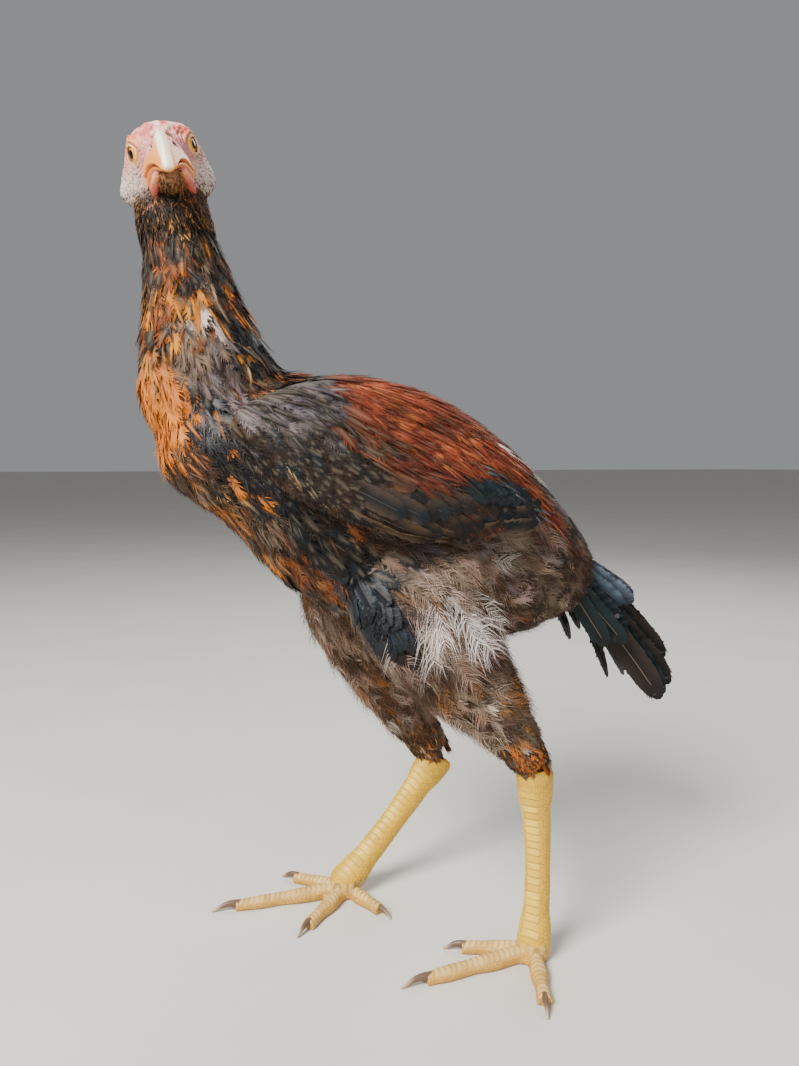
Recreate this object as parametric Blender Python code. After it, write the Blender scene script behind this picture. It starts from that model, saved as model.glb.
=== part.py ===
"""A young Amroha Aseel cockerel, life size, standing with its head turned to its left.

Blender 4.5 script, metres, +Z up. The bird faces -Y and its left side is +X. The origin is on the
floor, under the middle of the bird's bounding box. Each named object is one part of the body, a
closed solid that meets its neighbours face to face with a gap of about 0.3 mm.
"""

import math
import random

import bmesh
import bpy
from mathutils import Vector
from mathutils.bvhtree import BVHTree

MM = 0.001
GAP = 0.3

# The bird's own reference point is on the floor, midway between its feet. Points are written as
# (left, forward, up) from there, in millimetres, and this is where it lies in the row's axes.
STANCE = Vector((2.2, 2.3, 0.0))

# Driving dimensions, in millimetres.
BACK_SLOPE = math.radians(22.0)
TRUNK_MIDDLE = (20.0, 268.0)
EYE_MIDPOINT = (7.0, 157.0, 459.3)
HEAD_YAW = math.radians(84.0)
HEAD_PITCH = math.radians(-14.0)
HEAD_ROLL = math.radians(-14.0)
EYE_RADIUS = 6.6
EYE_SPREAD = 10.8
BEAK_TIP = (34.5, 0.0, -13.0)
VANE_THICKNESS = 0.7
SCUTE_RISE = 0.45

# Where each foot stands: the ball of the foot, on the floor.
FOOT = {"left": (46.5, -46.0), "right": (-64.0, 38.0)}
HOCK = {"left": (50.0, -41.0, 121.0), "right": (-61.0, -30.0, 92.0)}

# Trunk sections: distance along the trunk's axis, half width, height above it, depth below it.
TRUNK_SECTIONS = [
    (-136, 10, 13, 10),
    (-122, 22, 30, 21),
    (-90, 35, 46, 46),
    (-50, 45, 62, 57),
    (0, 51, 72, 66),
    (50, 52, 66, 62),
    (90, 46, 50, 41),
    (118, 38, 41, 34),
    (138, 26, 30, 27),
    (147, 12, 15, 13),
]

# Neck sections: centre, half width, depth in front, depth behind.
NECK_SECTIONS = [
    ((0, 112, 310), 27, 38, 34),
    ((0, 130, 337), 30, 37, 35),
    ((0, 139, 360), 26, 31, 32),
    ((-1, 144, 385), 21.5, 24, 25.5),
    ((-3, 148, 410), 18.5, 19.5, 20.5),
    ((-4, 151, 428), 20, 19, 19),
    ((-5, 153, 443), 19, 17, 17),
]

# Thigh sections, from inside the trunk to the hock: centre, half width, front, back.
THIGH_SECTIONS = {
    "left": [
        ((34, 50, 246), 19, 24, 38),
        ((44, 31, 216), 23, 31, 46),
        ((49, 6, 186), 21, 28, 28),
        ((51, -19, 156), 15, 19, 14.5),
        ((50.5, -33, 135), 12.5, 13, 11.5),
        ((50, -39, 124), 10.5, 11, 12),
    ],
    "right": [
        ((-34, 56, 240), 19, 26, 36),
        ((-46, 40, 206), 22, 28, 38),
        ((-54, 20, 168), 19, 23, 26),
        ((-59, -1, 134), 15, 17, 17),
        ((-61, -17, 110), 12.5, 13, 14.5),
        ((-61, -25, 97), 11, 11.5, 13),
    ],
}

# Shank sections from the hock to the ball: share of the way down, half width, front, back.
SHANK_SECTIONS = [
    (0.00, 8.5, 8.5, 10.5),
    (0.05, 9.6, 10.0, 12.5),
    (0.12, 9.0, 10.0, 11.5),
    (0.28, 7.0, 8.2, 8.6),
    (0.55, 6.6, 7.4, 7.6),
    (0.80, 7.2, 7.8, 8.0),
    (0.93, 9.5, 9.5, 9.5),
    (1.00, 10.5, 10.0, 9.5),
]
SHANK_DEPTH = {"left": 1.0, "right": 1.14}

# Each toe: where its tip is from the ball of the foot (outward, forward), its half width at the
# root and at the tip, its number of scutes, and its claw's length. Outward is away from the
# other foot.
TOES = {
    "left": {
        1: ((-29, -19), 4.6, 3.4, 3, 11),
        2: ((-21, 38), 5.2, 3.8, 6, 12),
        3: ((-1, 71), 5.8, 4.0, 9, 16),
        4: ((41, 18), 5.2, 3.8, 6, 12),
    },
    "right": {
        1: ((-32, -13), 4.6, 3.4, 3, 11),
        2: ((-31, 36), 5.2, 3.8, 6, 12),
        3: ((9, 75), 5.8, 4.0, 9, 16),
        4: ((30, 28), 5.2, 3.8, 6, 12),
    },
}
TOE_HEIGHT = 8.0

# Head sections along the head's own forward axis: place, half width, and the heights of the
# widest line, the top and the bottom over the eyes' middle.
HEAD_SECTIONS = [
    (-32, 7, -4, 3, -13),
    (-28, 12, -5, 7.5, -21),
    (-20, 16.5, -5, 11.5, -27),
    (-9, 18.8, -4, 13.2, -29),
    (1, 17.2, -3, 13, -26),
    (8, 13.4, -3, 11.2, -23.5),
    (13, 10.0, -6, 6, -21.5),
    (16.5, 8.0, -11, -2, -20.5),
    (20.5, 5.6, -13, -8, -19.0),
    (24, 3.4, -13.8, -11, -16.5),
]

# Beak sections along the head's forward axis: place, half width, and height or depth from the
# line of the mouth.
UPPER_BEAK_SECTIONS = [
    (10, 12.4, 20.0),
    (15, 10.4, 15.4),
    (20, 8.2, 12.0),
    (25, 6.0, 9.4),
    (30, 4.0, 7.0),
    (33.5, 2.4, 4.6),
]
LOWER_BEAK_SECTIONS = [
    (10, 12.0, 5.0),
    (15, 10.0, 5.0),
    (20, 7.8, 4.8),
    (25.5, 5.2, 4.2),
    (30, 2.6, 3.0),
]
UPPER_BEAK_LIP = 1.2
LOWER_BEAK_LIP = 0.8
NOSTRIL_PLACE = (17.6, 5.6, -0.8)
NOSTRIL_SIZE = (2.1, 1.6, 0.9)

# The comb: bumps in its middle row and in each side row, their sizes, and how high they stand.
COMB_ROWS = ((0, 5, 3.3), (-1, 4, 2.6), (1, 4, 2.6))
COMB_FRONT, COMB_LENGTH = 13, 21
COMB_HEIGHT, COMB_ARCH = 7.4, 4.3

# Sections of the tail's fleshy root along the trunk's axis: place, half width, above, below.
TAIL_ROOT_SECTIONS = [
    (-118, 15, 17, 13),
    (-130, 13, 15, 12),
    (-141, 9, 11, 9),
    (-150, 5, 6, 5),
]
TAIL_FEATHERS, TAIL_FEATHER_LENGTH, TAIL_FEATHER_WIDTH = 5, 92, 19
TAIL_COVERT_LENGTH, TAIL_COVERT_WIDTH = 50, 16

# A claw's height over the floor: at its root, the rise of its arch, and the fall to its tip.
CLAW_HEIGHT, CLAW_ARCH, CLAW_FALL = 3.9, 1.2, 2.9

# Wing sections from the shoulder to the rear: centre, half thickness, upper, lower, lean.
WING_SECTIONS = [
    ((40, 129, 320), 5, 8, 7, 8),
    ((47, 121, 318), 8, 17, 12, 10),
    ((51, 100, 313), 10, 31, 27, 14),
    ((52, 70, 306), 10.5, 40, 36, 18),
    ((51, 35, 299), 10, 41, 39, 20),
    ((49, 5, 289), 8.5, 34, 32, 20),
    ((46, -20, 280), 6.5, 24, 22, 18),
    ((43, -40, 272), 4, 12, 11, 16),
]


def point(left, forward, up):
    """A point of the bird, in metres in the row's axes."""
    return Vector((left + STANCE.x, -forward + STANCE.y, up)) * MM


def heading(left, forward, up):
    """A direction of the bird, in the row's axes."""
    return Vector((left, -forward, up)).normalized()


def smooth_between(rows, share):
    """The row of numbers that lies at a share of the way down a list, on a smooth curve."""
    place = share * (len(rows) - 1)
    first = min(int(place), len(rows) - 2)
    t = place - first
    before, a, b, after = (
        rows[min(max(first + k, 0), len(rows) - 1)] for k in (-1, 0, 1, 2)
    )
    return [
        0.5
        * (
            2 * p1
            + (p2 - p0) * t
            + (2 * p0 - 5 * p1 + 4 * p2 - p3) * t**2
            + (3 * p1 - p0 - 3 * p2 + p3) * t**3
        )
        for p0, p1, p2, p3 in zip(before, a, b, after)
    ]


def new_object(name, vertices, faces, collection):
    mesh = bpy.data.meshes.new(name)
    mesh.from_pydata([tuple(v) for v in vertices], [], faces)
    shape = bmesh.new()
    shape.from_mesh(mesh)
    bmesh.ops.recalc_face_normals(shape, faces=shape.faces)
    shape.to_mesh(mesh)
    shape.free()
    made = bpy.data.objects.new(name, mesh)
    collection.objects.link(made)
    return made


def ring_points(centre, across, upward, half, above, below, sides, pinch=1.0):
    """A ring of points round a centre: an oval with its own height above and below."""
    ring = []
    for k in range(sides):
        turn = 2 * math.pi * k / sides
        c, s = math.cos(turn), math.sin(turn)
        x = math.copysign(abs(c) ** pinch, c) * half
        y = math.copysign(abs(s) ** pinch, s) * (above if s > 0 else below)
        ring.append(centre + across * x + upward * y)
    return ring


def skin_rings(name, rings, collection, start=None, end=None):
    """A closed mesh over a row of rings, with a point or a flat end at each end."""
    sides = len(rings[0])
    vertices = [p for ring in rings for p in ring]
    faces = []
    for i in range(len(rings) - 1):
        for j in range(sides):
            k = (j + 1) % sides
            faces.append((i * sides + j, i * sides + k, (i + 1) * sides + k))
            faces.append((i * sides + j, (i + 1) * sides + k, (i + 1) * sides + j))
    for ring, pole in ((0, start), (len(rings) - 1, end)):
        middle = sum(rings[ring], Vector()) / sides if pole is None else pole
        vertices.append(middle)
        tip = len(vertices) - 1
        for j in range(sides):
            faces.append((ring * sides + j, ring * sides + (j + 1) % sides, tip))
    return new_object(name, vertices, faces, collection)


def loft(
    name, rows, rings, sides, collection, across=Vector((1, 0, 0)), upward=None, ends=(0.0, 0.0),
    tip=None, pinch=1.0,
):
    """A closed body through oval sections. A row is x, y, z, half, above, below in metres.

    The sections lie square to the line through their centres, or, where upward is given, all
    in the plane of across and upward. ends says how far the rounded ends stand past the first
    and last section, and tip is the point that the last end runs to in place of that. pinch
    over 1 makes the ovals more like diamonds.
    """
    placed = [smooth_between(rows, i / (rings - 1)) for i in range(rings)]
    centres = [Vector(row[:3]) for row in placed]
    made = []
    directions = []
    for i, row in enumerate(placed):
        along = (centres[min(i + 1, rings - 1)] - centres[max(i - 1, 0)]).normalized()
        side = (across - along * across.dot(along)).normalized()
        if upward is None:
            made.append(ring_points(centres[i], side, along.cross(side), *row[3:6], sides))
        else:
            made.append(ring_points(centres[i], across, upward, *row[3:6], sides, pinch))
        directions.append(along)
    start = centres[0] - directions[0] * ends[0]
    end = centres[-1] + directions[-1] * ends[1] if tip is None else tip
    return skin_rings(name, made, collection, start, end)


def copy_of(source, collection, fatter=0.0):
    """A copy of a body, grown by so many millimetres all over."""
    made = source.copy()
    made.data = source.data.copy()
    collection.objects.link(made)
    if fatter:
        normals = [v.normal.copy() for v in made.data.vertices]
        for vertex, normal in zip(made.data.vertices, normals):
            vertex.co += normal * fatter * MM
    return made


def joined(body, pieces, operation, solver="EXACT"):
    """Applies one Boolean of a body with a collection of closed pieces, which are then removed."""
    tools = bpy.data.collections.new("tools")
    bpy.context.scene.collection.children.link(tools)
    for piece in pieces:
        for home in list(piece.users_collection):
            home.objects.unlink(piece)
        tools.objects.link(piece)
    change = body.modifiers.new("join", "BOOLEAN")
    change.operand_type = "COLLECTION"
    change.collection = tools
    change.operation = operation
    change.solver = solver
    bpy.context.view_layer.update()
    graph = bpy.context.evaluated_depsgraph_get()
    result = bpy.data.meshes.new_from_object(body.evaluated_get(graph))
    body.modifiers.clear()
    body.data = result
    for piece in list(tools.objects):
        bpy.data.objects.remove(piece)
    bpy.data.collections.remove(tools)
    keep_largest(body)
    return body


def keep_largest(body):
    """Keeps only the closed surface of a body that holds the most."""
    shape = bmesh.new()
    shape.from_mesh(body.data)
    bmesh.ops.triangulate(shape, faces=shape.faces)
    left = set(shape.faces)
    groups = []
    while left:
        group, reach = set(), [left.pop()]
        while reach:
            face = reach.pop()
            group.add(face)
            for edge in face.edges:
                # An edge that two bodies touch along doesn't join them.
                for other in edge.link_faces if len(edge.link_faces) == 2 else ():
                    if other in left:
                        left.discard(other)
                        reach.append(other)
        groups.append(group)

    def held(group):
        return sum(
            f.verts[0].co.dot(f.verts[1].co.cross(f.verts[2].co)) for f in group
        )

    groups.sort(key=held, reverse=True)
    for group in groups[1:]:
        bmesh.ops.delete(shape, geom=list(group), context="FACES")
    shape.to_mesh(body.data)
    shape.free()


def surface_of(body):
    shape = bmesh.new()
    shape.from_mesh(body.data)
    bmesh.ops.triangulate(shape, faces=shape.faces)
    tree = BVHTree.FromBMesh(shape)
    shape.free()
    return tree


def swell(body, centre, radius, amount, push=None):
    """Moves the surface round a point out by up to an amount in millimetres, fading with distance."""
    for vertex in body.data.vertices:
        reach = (vertex.co - centre).length / (radius * MM)
        if reach < 2.5:
            direction = push or vertex.normal
            vertex.co += direction * amount * MM * math.exp(-(reach**2))


# A feather's half width along its length, as a share of its widest.
COVERT_OUTLINE = (0.55, 0.88, 1.0, 0.86, 0.32)
FLIGHT_OUTLINE = (0.35, 0.75, 0.95, 1.0, 0.9, 0.34)
LOCK_OUTLINE = (0.9, 1.0, 0.7, 0.2)


def vane(surface, root, forward, length, width, rise, outline, collection, roll=0.0, droop=0.0):
    """One feather: a thin, tapered plate that starts under a surface and lies out over it.

    It follows the surface while there is one under it and runs straight on past its edge. rise is
    how high its tip stands, roll lifts its left edge over its neighbour's right one, and droop
    bends the free part down, in millimetres.
    """
    steps = len(outline) - 1
    stride = length * MM / steps
    hit, normal, _, _ = surface.find_nearest(root)
    position = hit
    along = (forward - normal * forward.dot(normal)).normalized()
    tops, bottoms = [], []
    for k, share in enumerate(outline):
        reached = k / steps
        height = (-2.2 + (rise + 2.2) * min(1.0, 1.5 * reached) ** 0.8) * MM
        side = along.cross(normal).normalized()
        middle = position + normal * height - Vector((0, 0, droop * MM * reached**2))
        half = 0.5 * width * MM * share
        thick = 0.5 * VANE_THICKNESS * MM * (1.0 - 0.45 * reached)
        for edge in (-1, 1):
            place = middle + side * half * edge - normal * math.sin(roll) * half * edge
            tops.append(place + normal * thick)
            bottoms.append(place - normal * thick)
        ahead = position + along * stride
        hit, turned, _, _ = surface.find_nearest(ahead)
        if turned.dot(normal) > 0.9 and (ahead - hit).length < 0.35 * stride + 1.5 * MM:
            position = hit
            normal = (normal + turned).normalized()
            along = (along - normal * along.dot(normal)).normalized()
        else:
            position = ahead
    return plate("vane", tops, bottoms, collection)


def plate(name, tops, bottoms, collection):
    """A thin closed plate between two like strips, split into triangles alike on both faces."""
    count = len(tops)
    under = count
    faces = []
    for i in range(0, count - 2, 2):
        a, b, c, d = i, i + 1, i + 3, i + 2
        faces += [(a, b, c), (a, c, d)]
        faces += [(under + c, under + b, under + a), (under + d, under + c, under + a)]
        faces += [(a, d, under + d), (a, under + d, under + a)]
        faces += [(b, under + b, under + c), (b, under + c, c)]
    faces += [(0, under, under + 1), (0, under + 1, 1)]
    last = count - 2
    faces += [
        (last, last + 1, under + last + 1),
        (last, under + last + 1, under + last),
    ]
    return new_object(name, tops + bottoms, faces, collection)


def ellipsoid(name, centre, radii, segments, rings, collection, axes=None):
    """A rounded lump, from a sphere that is scaled along its own axes."""
    shape = bmesh.new()
    bmesh.ops.create_uvsphere(shape, u_segments=segments, v_segments=rings, radius=1.0)
    bmesh.ops.triangulate(shape, faces=shape.faces)
    axes = axes or (Vector((1, 0, 0)), Vector((0, 1, 0)), Vector((0, 0, 1)))
    for vertex in shape.verts:
        moved = sum((axes[i] * vertex.co[i] * radii[i] * MM for i in range(3)), Vector())
        vertex.co = centre + moved
    mesh = bpy.data.meshes.new(name)
    shape.to_mesh(mesh)
    shape.free()
    made = bpy.data.objects.new(name, mesh)
    collection.objects.link(made)
    return made


def finish(body, colour, roughness, flat=False):
    """Gives a body its material, and smooth shading where it is round."""
    material = bpy.data.materials.new(body.name)
    material.use_nodes = True
    shader = material.node_tree.nodes["Principled BSDF"]
    shader.inputs["Base Color"].default_value = (*colour, 1.0)
    shader.inputs["Roughness"].default_value = roughness
    shader.inputs["Metallic"].default_value = 0.0
    body.data.materials.clear()
    body.data.materials.append(material)
    if not flat:
        body.data.shade_smooth()
    body.data.set_sharp_from_angle(angle=math.radians(40))
    return body


def trunk_point(along, across, above):
    """A point by its place along the trunk's sloping axis, to its left and above it."""
    run, lift = math.cos(BACK_SLOPE), math.sin(BACK_SLOPE)
    forward = TRUNK_MIDDLE[0] + along * run - above * lift
    up = TRUNK_MIDDLE[1] + along * lift + above * run
    return point(across, forward, up)


def make_trunk(parts):
    rows = []
    for along, half, above, below in TRUNK_SECTIONS:
        rows.append([*trunk_point(along, 0, 0), half * MM, above * MM, below * MM])
    trunk = loft("torso", rows, 17, 20, parts, ends=(0.003, 0.006))
    # The crop stands out low on the left of the neck's root, and the keel under the breast.
    swell(trunk, point(12, 160, 318), 24, 5)
    swell(trunk, point(0, 118, 250), 26, 3)
    return trunk


def make_neck(parts):
    rows = [
        [*point(*centre), half * MM, front * MM, back * MM]
        for centre, half, front, back in NECK_SECTIONS
    ]
    # The rings' upper side faces the bird's back, so front and back trade places.
    for row in rows:
        row[4], row[5] = row[5], row[4]
    neck = loft("neck", rows, 11, 16, parts)
    swell(neck, point(10, 168, 335), 24, 4)
    return neck


def head_axes():
    """The head's forward, left and up directions, in the row's axes."""
    forward = heading(
        math.sin(HEAD_YAW) * math.cos(HEAD_PITCH),
        math.cos(HEAD_YAW) * math.cos(HEAD_PITCH),
        math.sin(HEAD_PITCH),
    )
    level_left = Vector((0, 0, 1)).cross(forward).normalized()
    level_up = forward.cross(level_left)
    left = level_left * math.cos(HEAD_ROLL) - level_up * math.sin(HEAD_ROLL)
    return forward, left, forward.cross(left)


HEAD_FORWARD, HEAD_LEFT, HEAD_UP = head_axes()


def head_point(forward, left, up):
    """A point of the head, from the middle between its eyes, in millimetres."""
    moved = HEAD_FORWARD * forward + HEAD_LEFT * left + HEAD_UP * up
    return point(*EYE_MIDPOINT) + moved * MM


def make_eye(name, side, parts):
    centre = head_point(1.6, side * EYE_SPREAD, 0)
    gaze = eye_axis(side)
    upright = (HEAD_UP - gaze * HEAD_UP.dot(gaze)).normalized()
    axes = (upright, gaze.cross(upright), gaze)
    return ellipsoid(name, centre, (EYE_RADIUS,) * 3, 12, 8, parts, axes)


def eye_axis(side):
    """The way that an eye looks: out to the side and a little forward."""
    look = math.radians(60)
    return (HEAD_FORWARD * math.cos(look) + HEAD_LEFT * side * math.sin(look)).normalized()


def make_lid(side, parts):
    """The raised rim of the lids round an eye, as a ring fused to the head."""
    gaze = eye_axis(side)
    middle = head_point(1.6, side * EYE_SPREAD, 0) + gaze * 4.0 * MM
    upright = (HEAD_UP - gaze * HEAD_UP.dot(gaze)).normalized()
    lengthwise = gaze.cross(upright)
    rings = []
    turns, sides = 12, 5
    for k in range(turns):
        turn = 2 * math.pi * k / turns
        radial = lengthwise * math.cos(turn) * 1.12 + upright * math.sin(turn) * 0.92
        centre = middle + radial * 5.4 * MM
        outward = radial.normalized()
        rings.append(ring_points(centre, outward, gaze, *(1.5 * MM,) * 3, sides))
    vertices = [p for ring in rings for p in ring]
    faces = []
    for i in range(turns):
        for j in range(sides):
            a, b = i * sides + j, i * sides + (j + 1) % sides
            c = (i + 1) % turns * sides + (j + 1) % sides
            d = (i + 1) % turns * sides + j
            faces += [(a, b, c), (a, c, d)]
    return new_object("lid", vertices, faces, parts)


def make_head(parts):
    rows = []
    for place, half, middle, top, bottom in HEAD_SECTIONS:
        above, below = (top - middle) * MM, (middle - bottom) * MM
        rows.append([*head_point(place, 0, middle), half * MM, above, below])
    chin = head_point(25, 0, -13.5)
    head = loft(
        "head", rows, 12, 18, parts, across=HEAD_LEFT, upward=HEAD_UP, ends=(0.002, 0), tip=chin
    )
    for side in (-1, 1):
        # The feathered cheek, the brow over the eye and the hollow in front of it.
        cheek = 7.5 if side == 1 else 10.5
        swell(head, head_point(-13, side * 15, -19), 12.5, cheek, HEAD_LEFT * side)
        swell(head, head_point(2, side * 14, 7), 6, 1.8)
        swell(head, head_point(10, side * 12, -3), 6, -1.4)
    return head


def make_comb(parts):
    """A pea comb: three low rows of bumps from the beak's root over the forehead."""
    bumps = []
    for row, count, widest in COMB_ROWS:
        for k in range(count):
            share = k / (count - 1)
            forward = COMB_FRONT - COMB_LENGTH * share
            rise = COMB_HEIGHT + COMB_ARCH * math.sin(math.pi * 0.60 * share)
            size = widest * (0.85 + 0.35 * math.sin(math.pi * share))
            centre = head_point(forward, row * (3.5 + 0.4 * share), rise - abs(row) * 1.0)
            lump = ellipsoid(
                "bump", centre, (size, size * 0.85, size * 0.9), 6, 5, parts,
                (HEAD_FORWARD, HEAD_LEFT, HEAD_UP),
            )
            bumps.append(lump)
    comb = bumps[0]
    comb.name = "comb"
    return joined(comb, bumps[1:], "UNION", "MANIFOLD")


def mouth_line(forward):
    """Height of the line where the two halves of the beak meet, in the head's millimetres."""
    return -8.0 - (0.049 if forward < 20 else 0.024) * (forward - 20) ** 2


def make_upper_beak(parts):
    """The hooked upper half, broad at its root, and the two pits that become its nostrils."""
    rows = []
    for forward, half, tall in UPPER_BEAK_SECTIONS:
        middle = head_point(forward, 0, mouth_line(forward) + 0.5 * GAP + UPPER_BEAK_LIP)
        rows.append([*middle, half * MM, (tall - UPPER_BEAK_LIP) * MM, UPPER_BEAK_LIP * MM])
    tip = head_point(*BEAK_TIP)
    beak = loft(
        "upper_beak", rows, 9, 14, parts, across=HEAD_LEFT, upward=HEAD_UP, tip=tip, pinch=1.3
    )
    nostrils = []
    for side in (-1, 1):
        ahead, aside, up = NOSTRIL_PLACE
        pit = ellipsoid(
            "nostril", head_point(ahead, side * aside, up), NOSTRIL_SIZE, 7, 5, parts,
            (HEAD_FORWARD, HEAD_LEFT, HEAD_UP),
        )
        nostrils.append(pit)
    return beak, nostrils


def make_lower_beak(parts):
    """The lower half, whose two sides run back to the corners of the mouth."""
    rows = []
    for forward, half, deep in LOWER_BEAK_SECTIONS:
        middle = head_point(forward, 0, mouth_line(forward) - 0.5 * GAP - LOWER_BEAK_LIP)
        rows.append([*middle, half * MM, LOWER_BEAK_LIP * MM, (deep - LOWER_BEAK_LIP) * MM])
    return loft(
        "lower_beak", rows, 8, 14, parts, across=HEAD_LEFT, upward=HEAD_UP, ends=(0, 0.0012)
    )


def wing_rows(side):
    rows = []
    for (left, forward, up), half, above, below, _ in WING_SECTIONS:
        rows.append([*point(side * left, forward, up), half * MM, above * MM, below * MM])
    return rows


def make_wing(name, side, parts, rng):
    """A folded wing: a flat core that leans in on the back, under tiers of feathers."""
    rows = wing_rows(side)
    rings, sides = 10, 12
    made = []
    for i in range(rings):
        share = i / (rings - 1)
        row = smooth_between(rows, share)
        lean = math.radians(smooth_between([[s[4]] for s in WING_SECTIONS], share)[0])
        ahead = smooth_between(rows, min(1.0, share + 0.05))
        behind = smooth_between(rows, max(0.0, share - 0.05))
        along = (Vector(ahead[:3]) - Vector(behind[:3])).normalized()
        out = heading(side * math.cos(lean), 0, math.sin(lean))
        out = (out - along * out.dot(along)).normalized()
        up = along.cross(out) * (1 if along.cross(out).z > 0 else -1)
        made.append(ring_points(Vector(row[:3]), out, up, *row[3:6], sides))
    core = skin_rings(name, made, parts)
    surface = surface_of(core)
    feathers = wing_feathers(surface, side, parts, rng)
    return core, feathers


def wing_feathers(surface, side, parts, rng):
    """The folded wing's feathers, tier over tier, from the flight feathers up to the shoulder."""
    made = []

    def tier(count, start, stop, aim_start, aim_stop, length, width, rise, outline, roll):
        for k in range(count):
            share = k / (count - 1)
            forward = start[0] + (stop[0] - start[0]) * share
            up = start[1] + (stop[1] - start[1]) * share
            aim = math.radians(aim_start + (aim_stop - aim_start) * share)
            reach = length[0] + (length[1] - length[0]) * share + rng.uniform(-2, 2)
            root = point(side * 66, forward, up)
            lie = heading(0, -math.cos(aim), -math.sin(aim))
            made.append(
                vane(surface, root, lie, reach, width, rise, outline, parts, roll * side)
            )

    steep, slight = math.radians(-13), math.radians(-6)
    # Primaries along the lower edge, secondaries over them, then the coverts.
    tier(3, (50, 275), (12, 268), 12, 0, (90, 66), 12, 0.9, FLIGHT_OUTLINE, steep)
    tier(6, (64, 286), (-4, 290), 22, 16, (84, 58), 15, 1.6, FLIGHT_OUTLINE, steep)
    tier(5, (84, 297), (18, 306), 34, 30, (46, 42), 16, 2.6, COVERT_OUTLINE, slight)
    tier(5, (100, 308), (36, 321), 38, 32, (40, 42), 16, 3.4, COVERT_OUTLINE, slight)
    tier(4, (108, 322), (56, 335), 40, 32, (34, 42), 15, 4.2, COVERT_OUTLINE, slight)
    return made


def make_tail(parts, rng):
    """The drooping tail: a root, five tail feathers a side like a steep roof, and their coverts."""
    rows = []
    for along, half, above, below in TAIL_ROOT_SECTIONS:
        rows.append([*trunk_point(along, 0, -1), half * MM, above * MM, below * MM])
    root = loft("tail", rows, 5, 12, parts, ends=(0.0, 0.002))
    feathers = []
    for side in (-1, 1):
        for k in range(TAIL_FEATHERS):
            share = k / (TAIL_FEATHERS - 1)
            dip = math.radians(38 + 17 * share)
            splay = math.radians(3 + 9 * share)
            start = trunk_point(-142, side * (2.2 + 6.5 * share), 8 - 15 * share)
            aim = heading(
                side * math.sin(splay), -math.cos(splay) * math.cos(dip), -math.sin(dip)
            )
            long = TAIL_FEATHER_LENGTH - 16 * abs(share - 0.55) + rng.uniform(-3, 3)
            tilt = 1.15 - 0.5 * share
            feathers.append(
                tail_vane(start, aim, side, tilt, long, TAIL_FEATHER_WIDTH, parts)
            )
        for k in range(2):
            share = k
            dip = math.radians(32 + 20 * share)
            start = trunk_point(-134, side * (5 + 6 * share), 12 - 13 * share)
            aim = heading(side * 0.16, -math.cos(dip), -math.sin(dip))
            tilt = 0.9 - 0.3 * share
            feathers.append(
                tail_vane(start, aim, side, tilt, TAIL_COVERT_LENGTH, TAIL_COVERT_WIDTH, parts)
            )
    return root, feathers


def tail_vane(start, aim, side, tilt, length, width, parts):
    """A broad tail feather on its edge: tilt 1.57 lays it flat, and less stands it up."""
    steps = len(FLIGHT_OUTLINE) - 1
    flat = aim.cross(Vector((0, 0, 1))).normalized()
    steep = flat.cross(aim).normalized()
    across = (flat * math.sin(tilt) * side + steep * math.cos(tilt)).normalized()
    face = aim.cross(across).normalized()
    tops, bottoms = [], []
    for k, share in enumerate(FLIGHT_OUTLINE):
        reached = k / steps
        sag = Vector((0, 0, -7 * reached**2)) * MM
        middle = start + aim * (length * reached - 12) * MM + sag
        half = 0.5 * width * MM * share
        thick = 0.5 * VANE_THICKNESS * MM * (1.15 - 0.5 * reached)
        for edge in (-1, 1):
            place = middle + across * half * edge
            tops.append(place + face * thick)
            bottoms.append(place - face * thick)
    return plate("vane", tops, bottoms, parts)


def make_thigh(name, side, parts):
    rows = [
        [*point(*centre), half * MM, front * MM, back * MM]
        for centre, half, front, back in THIGH_SECTIONS[side]
    ]
    return loft(name, rows, 12, 14, parts)


def thigh_locks(side, thigh, parts, rng):
    """Loose feathers that hang off the back of a thigh and over the hock."""
    surface = surface_of(thigh)
    made = []
    rows = THIGH_SECTIONS[side]
    for tier in range(2):
        for k in range(4):
            share = 0.26 + 0.24 * tier
            x, y, z, half, _, back = smooth_between(
                [[*c, w, f, b] for c, w, f, b in rows], share
            )
            spread = (k - 1.5) / 1.5
            root = point(
                x + spread * half * 0.8, y - back * (1.0 - 0.25 * abs(spread)), z + 6
            )
            lie = heading(0.18 * spread, -0.62, -0.78)
            length = 30 - 5 * tier + rng.uniform(-2, 3)
            made.append(vane(surface, root, lie, length, 12, 3.2, LOCK_OUTLINE, parts))
    return made


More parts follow.
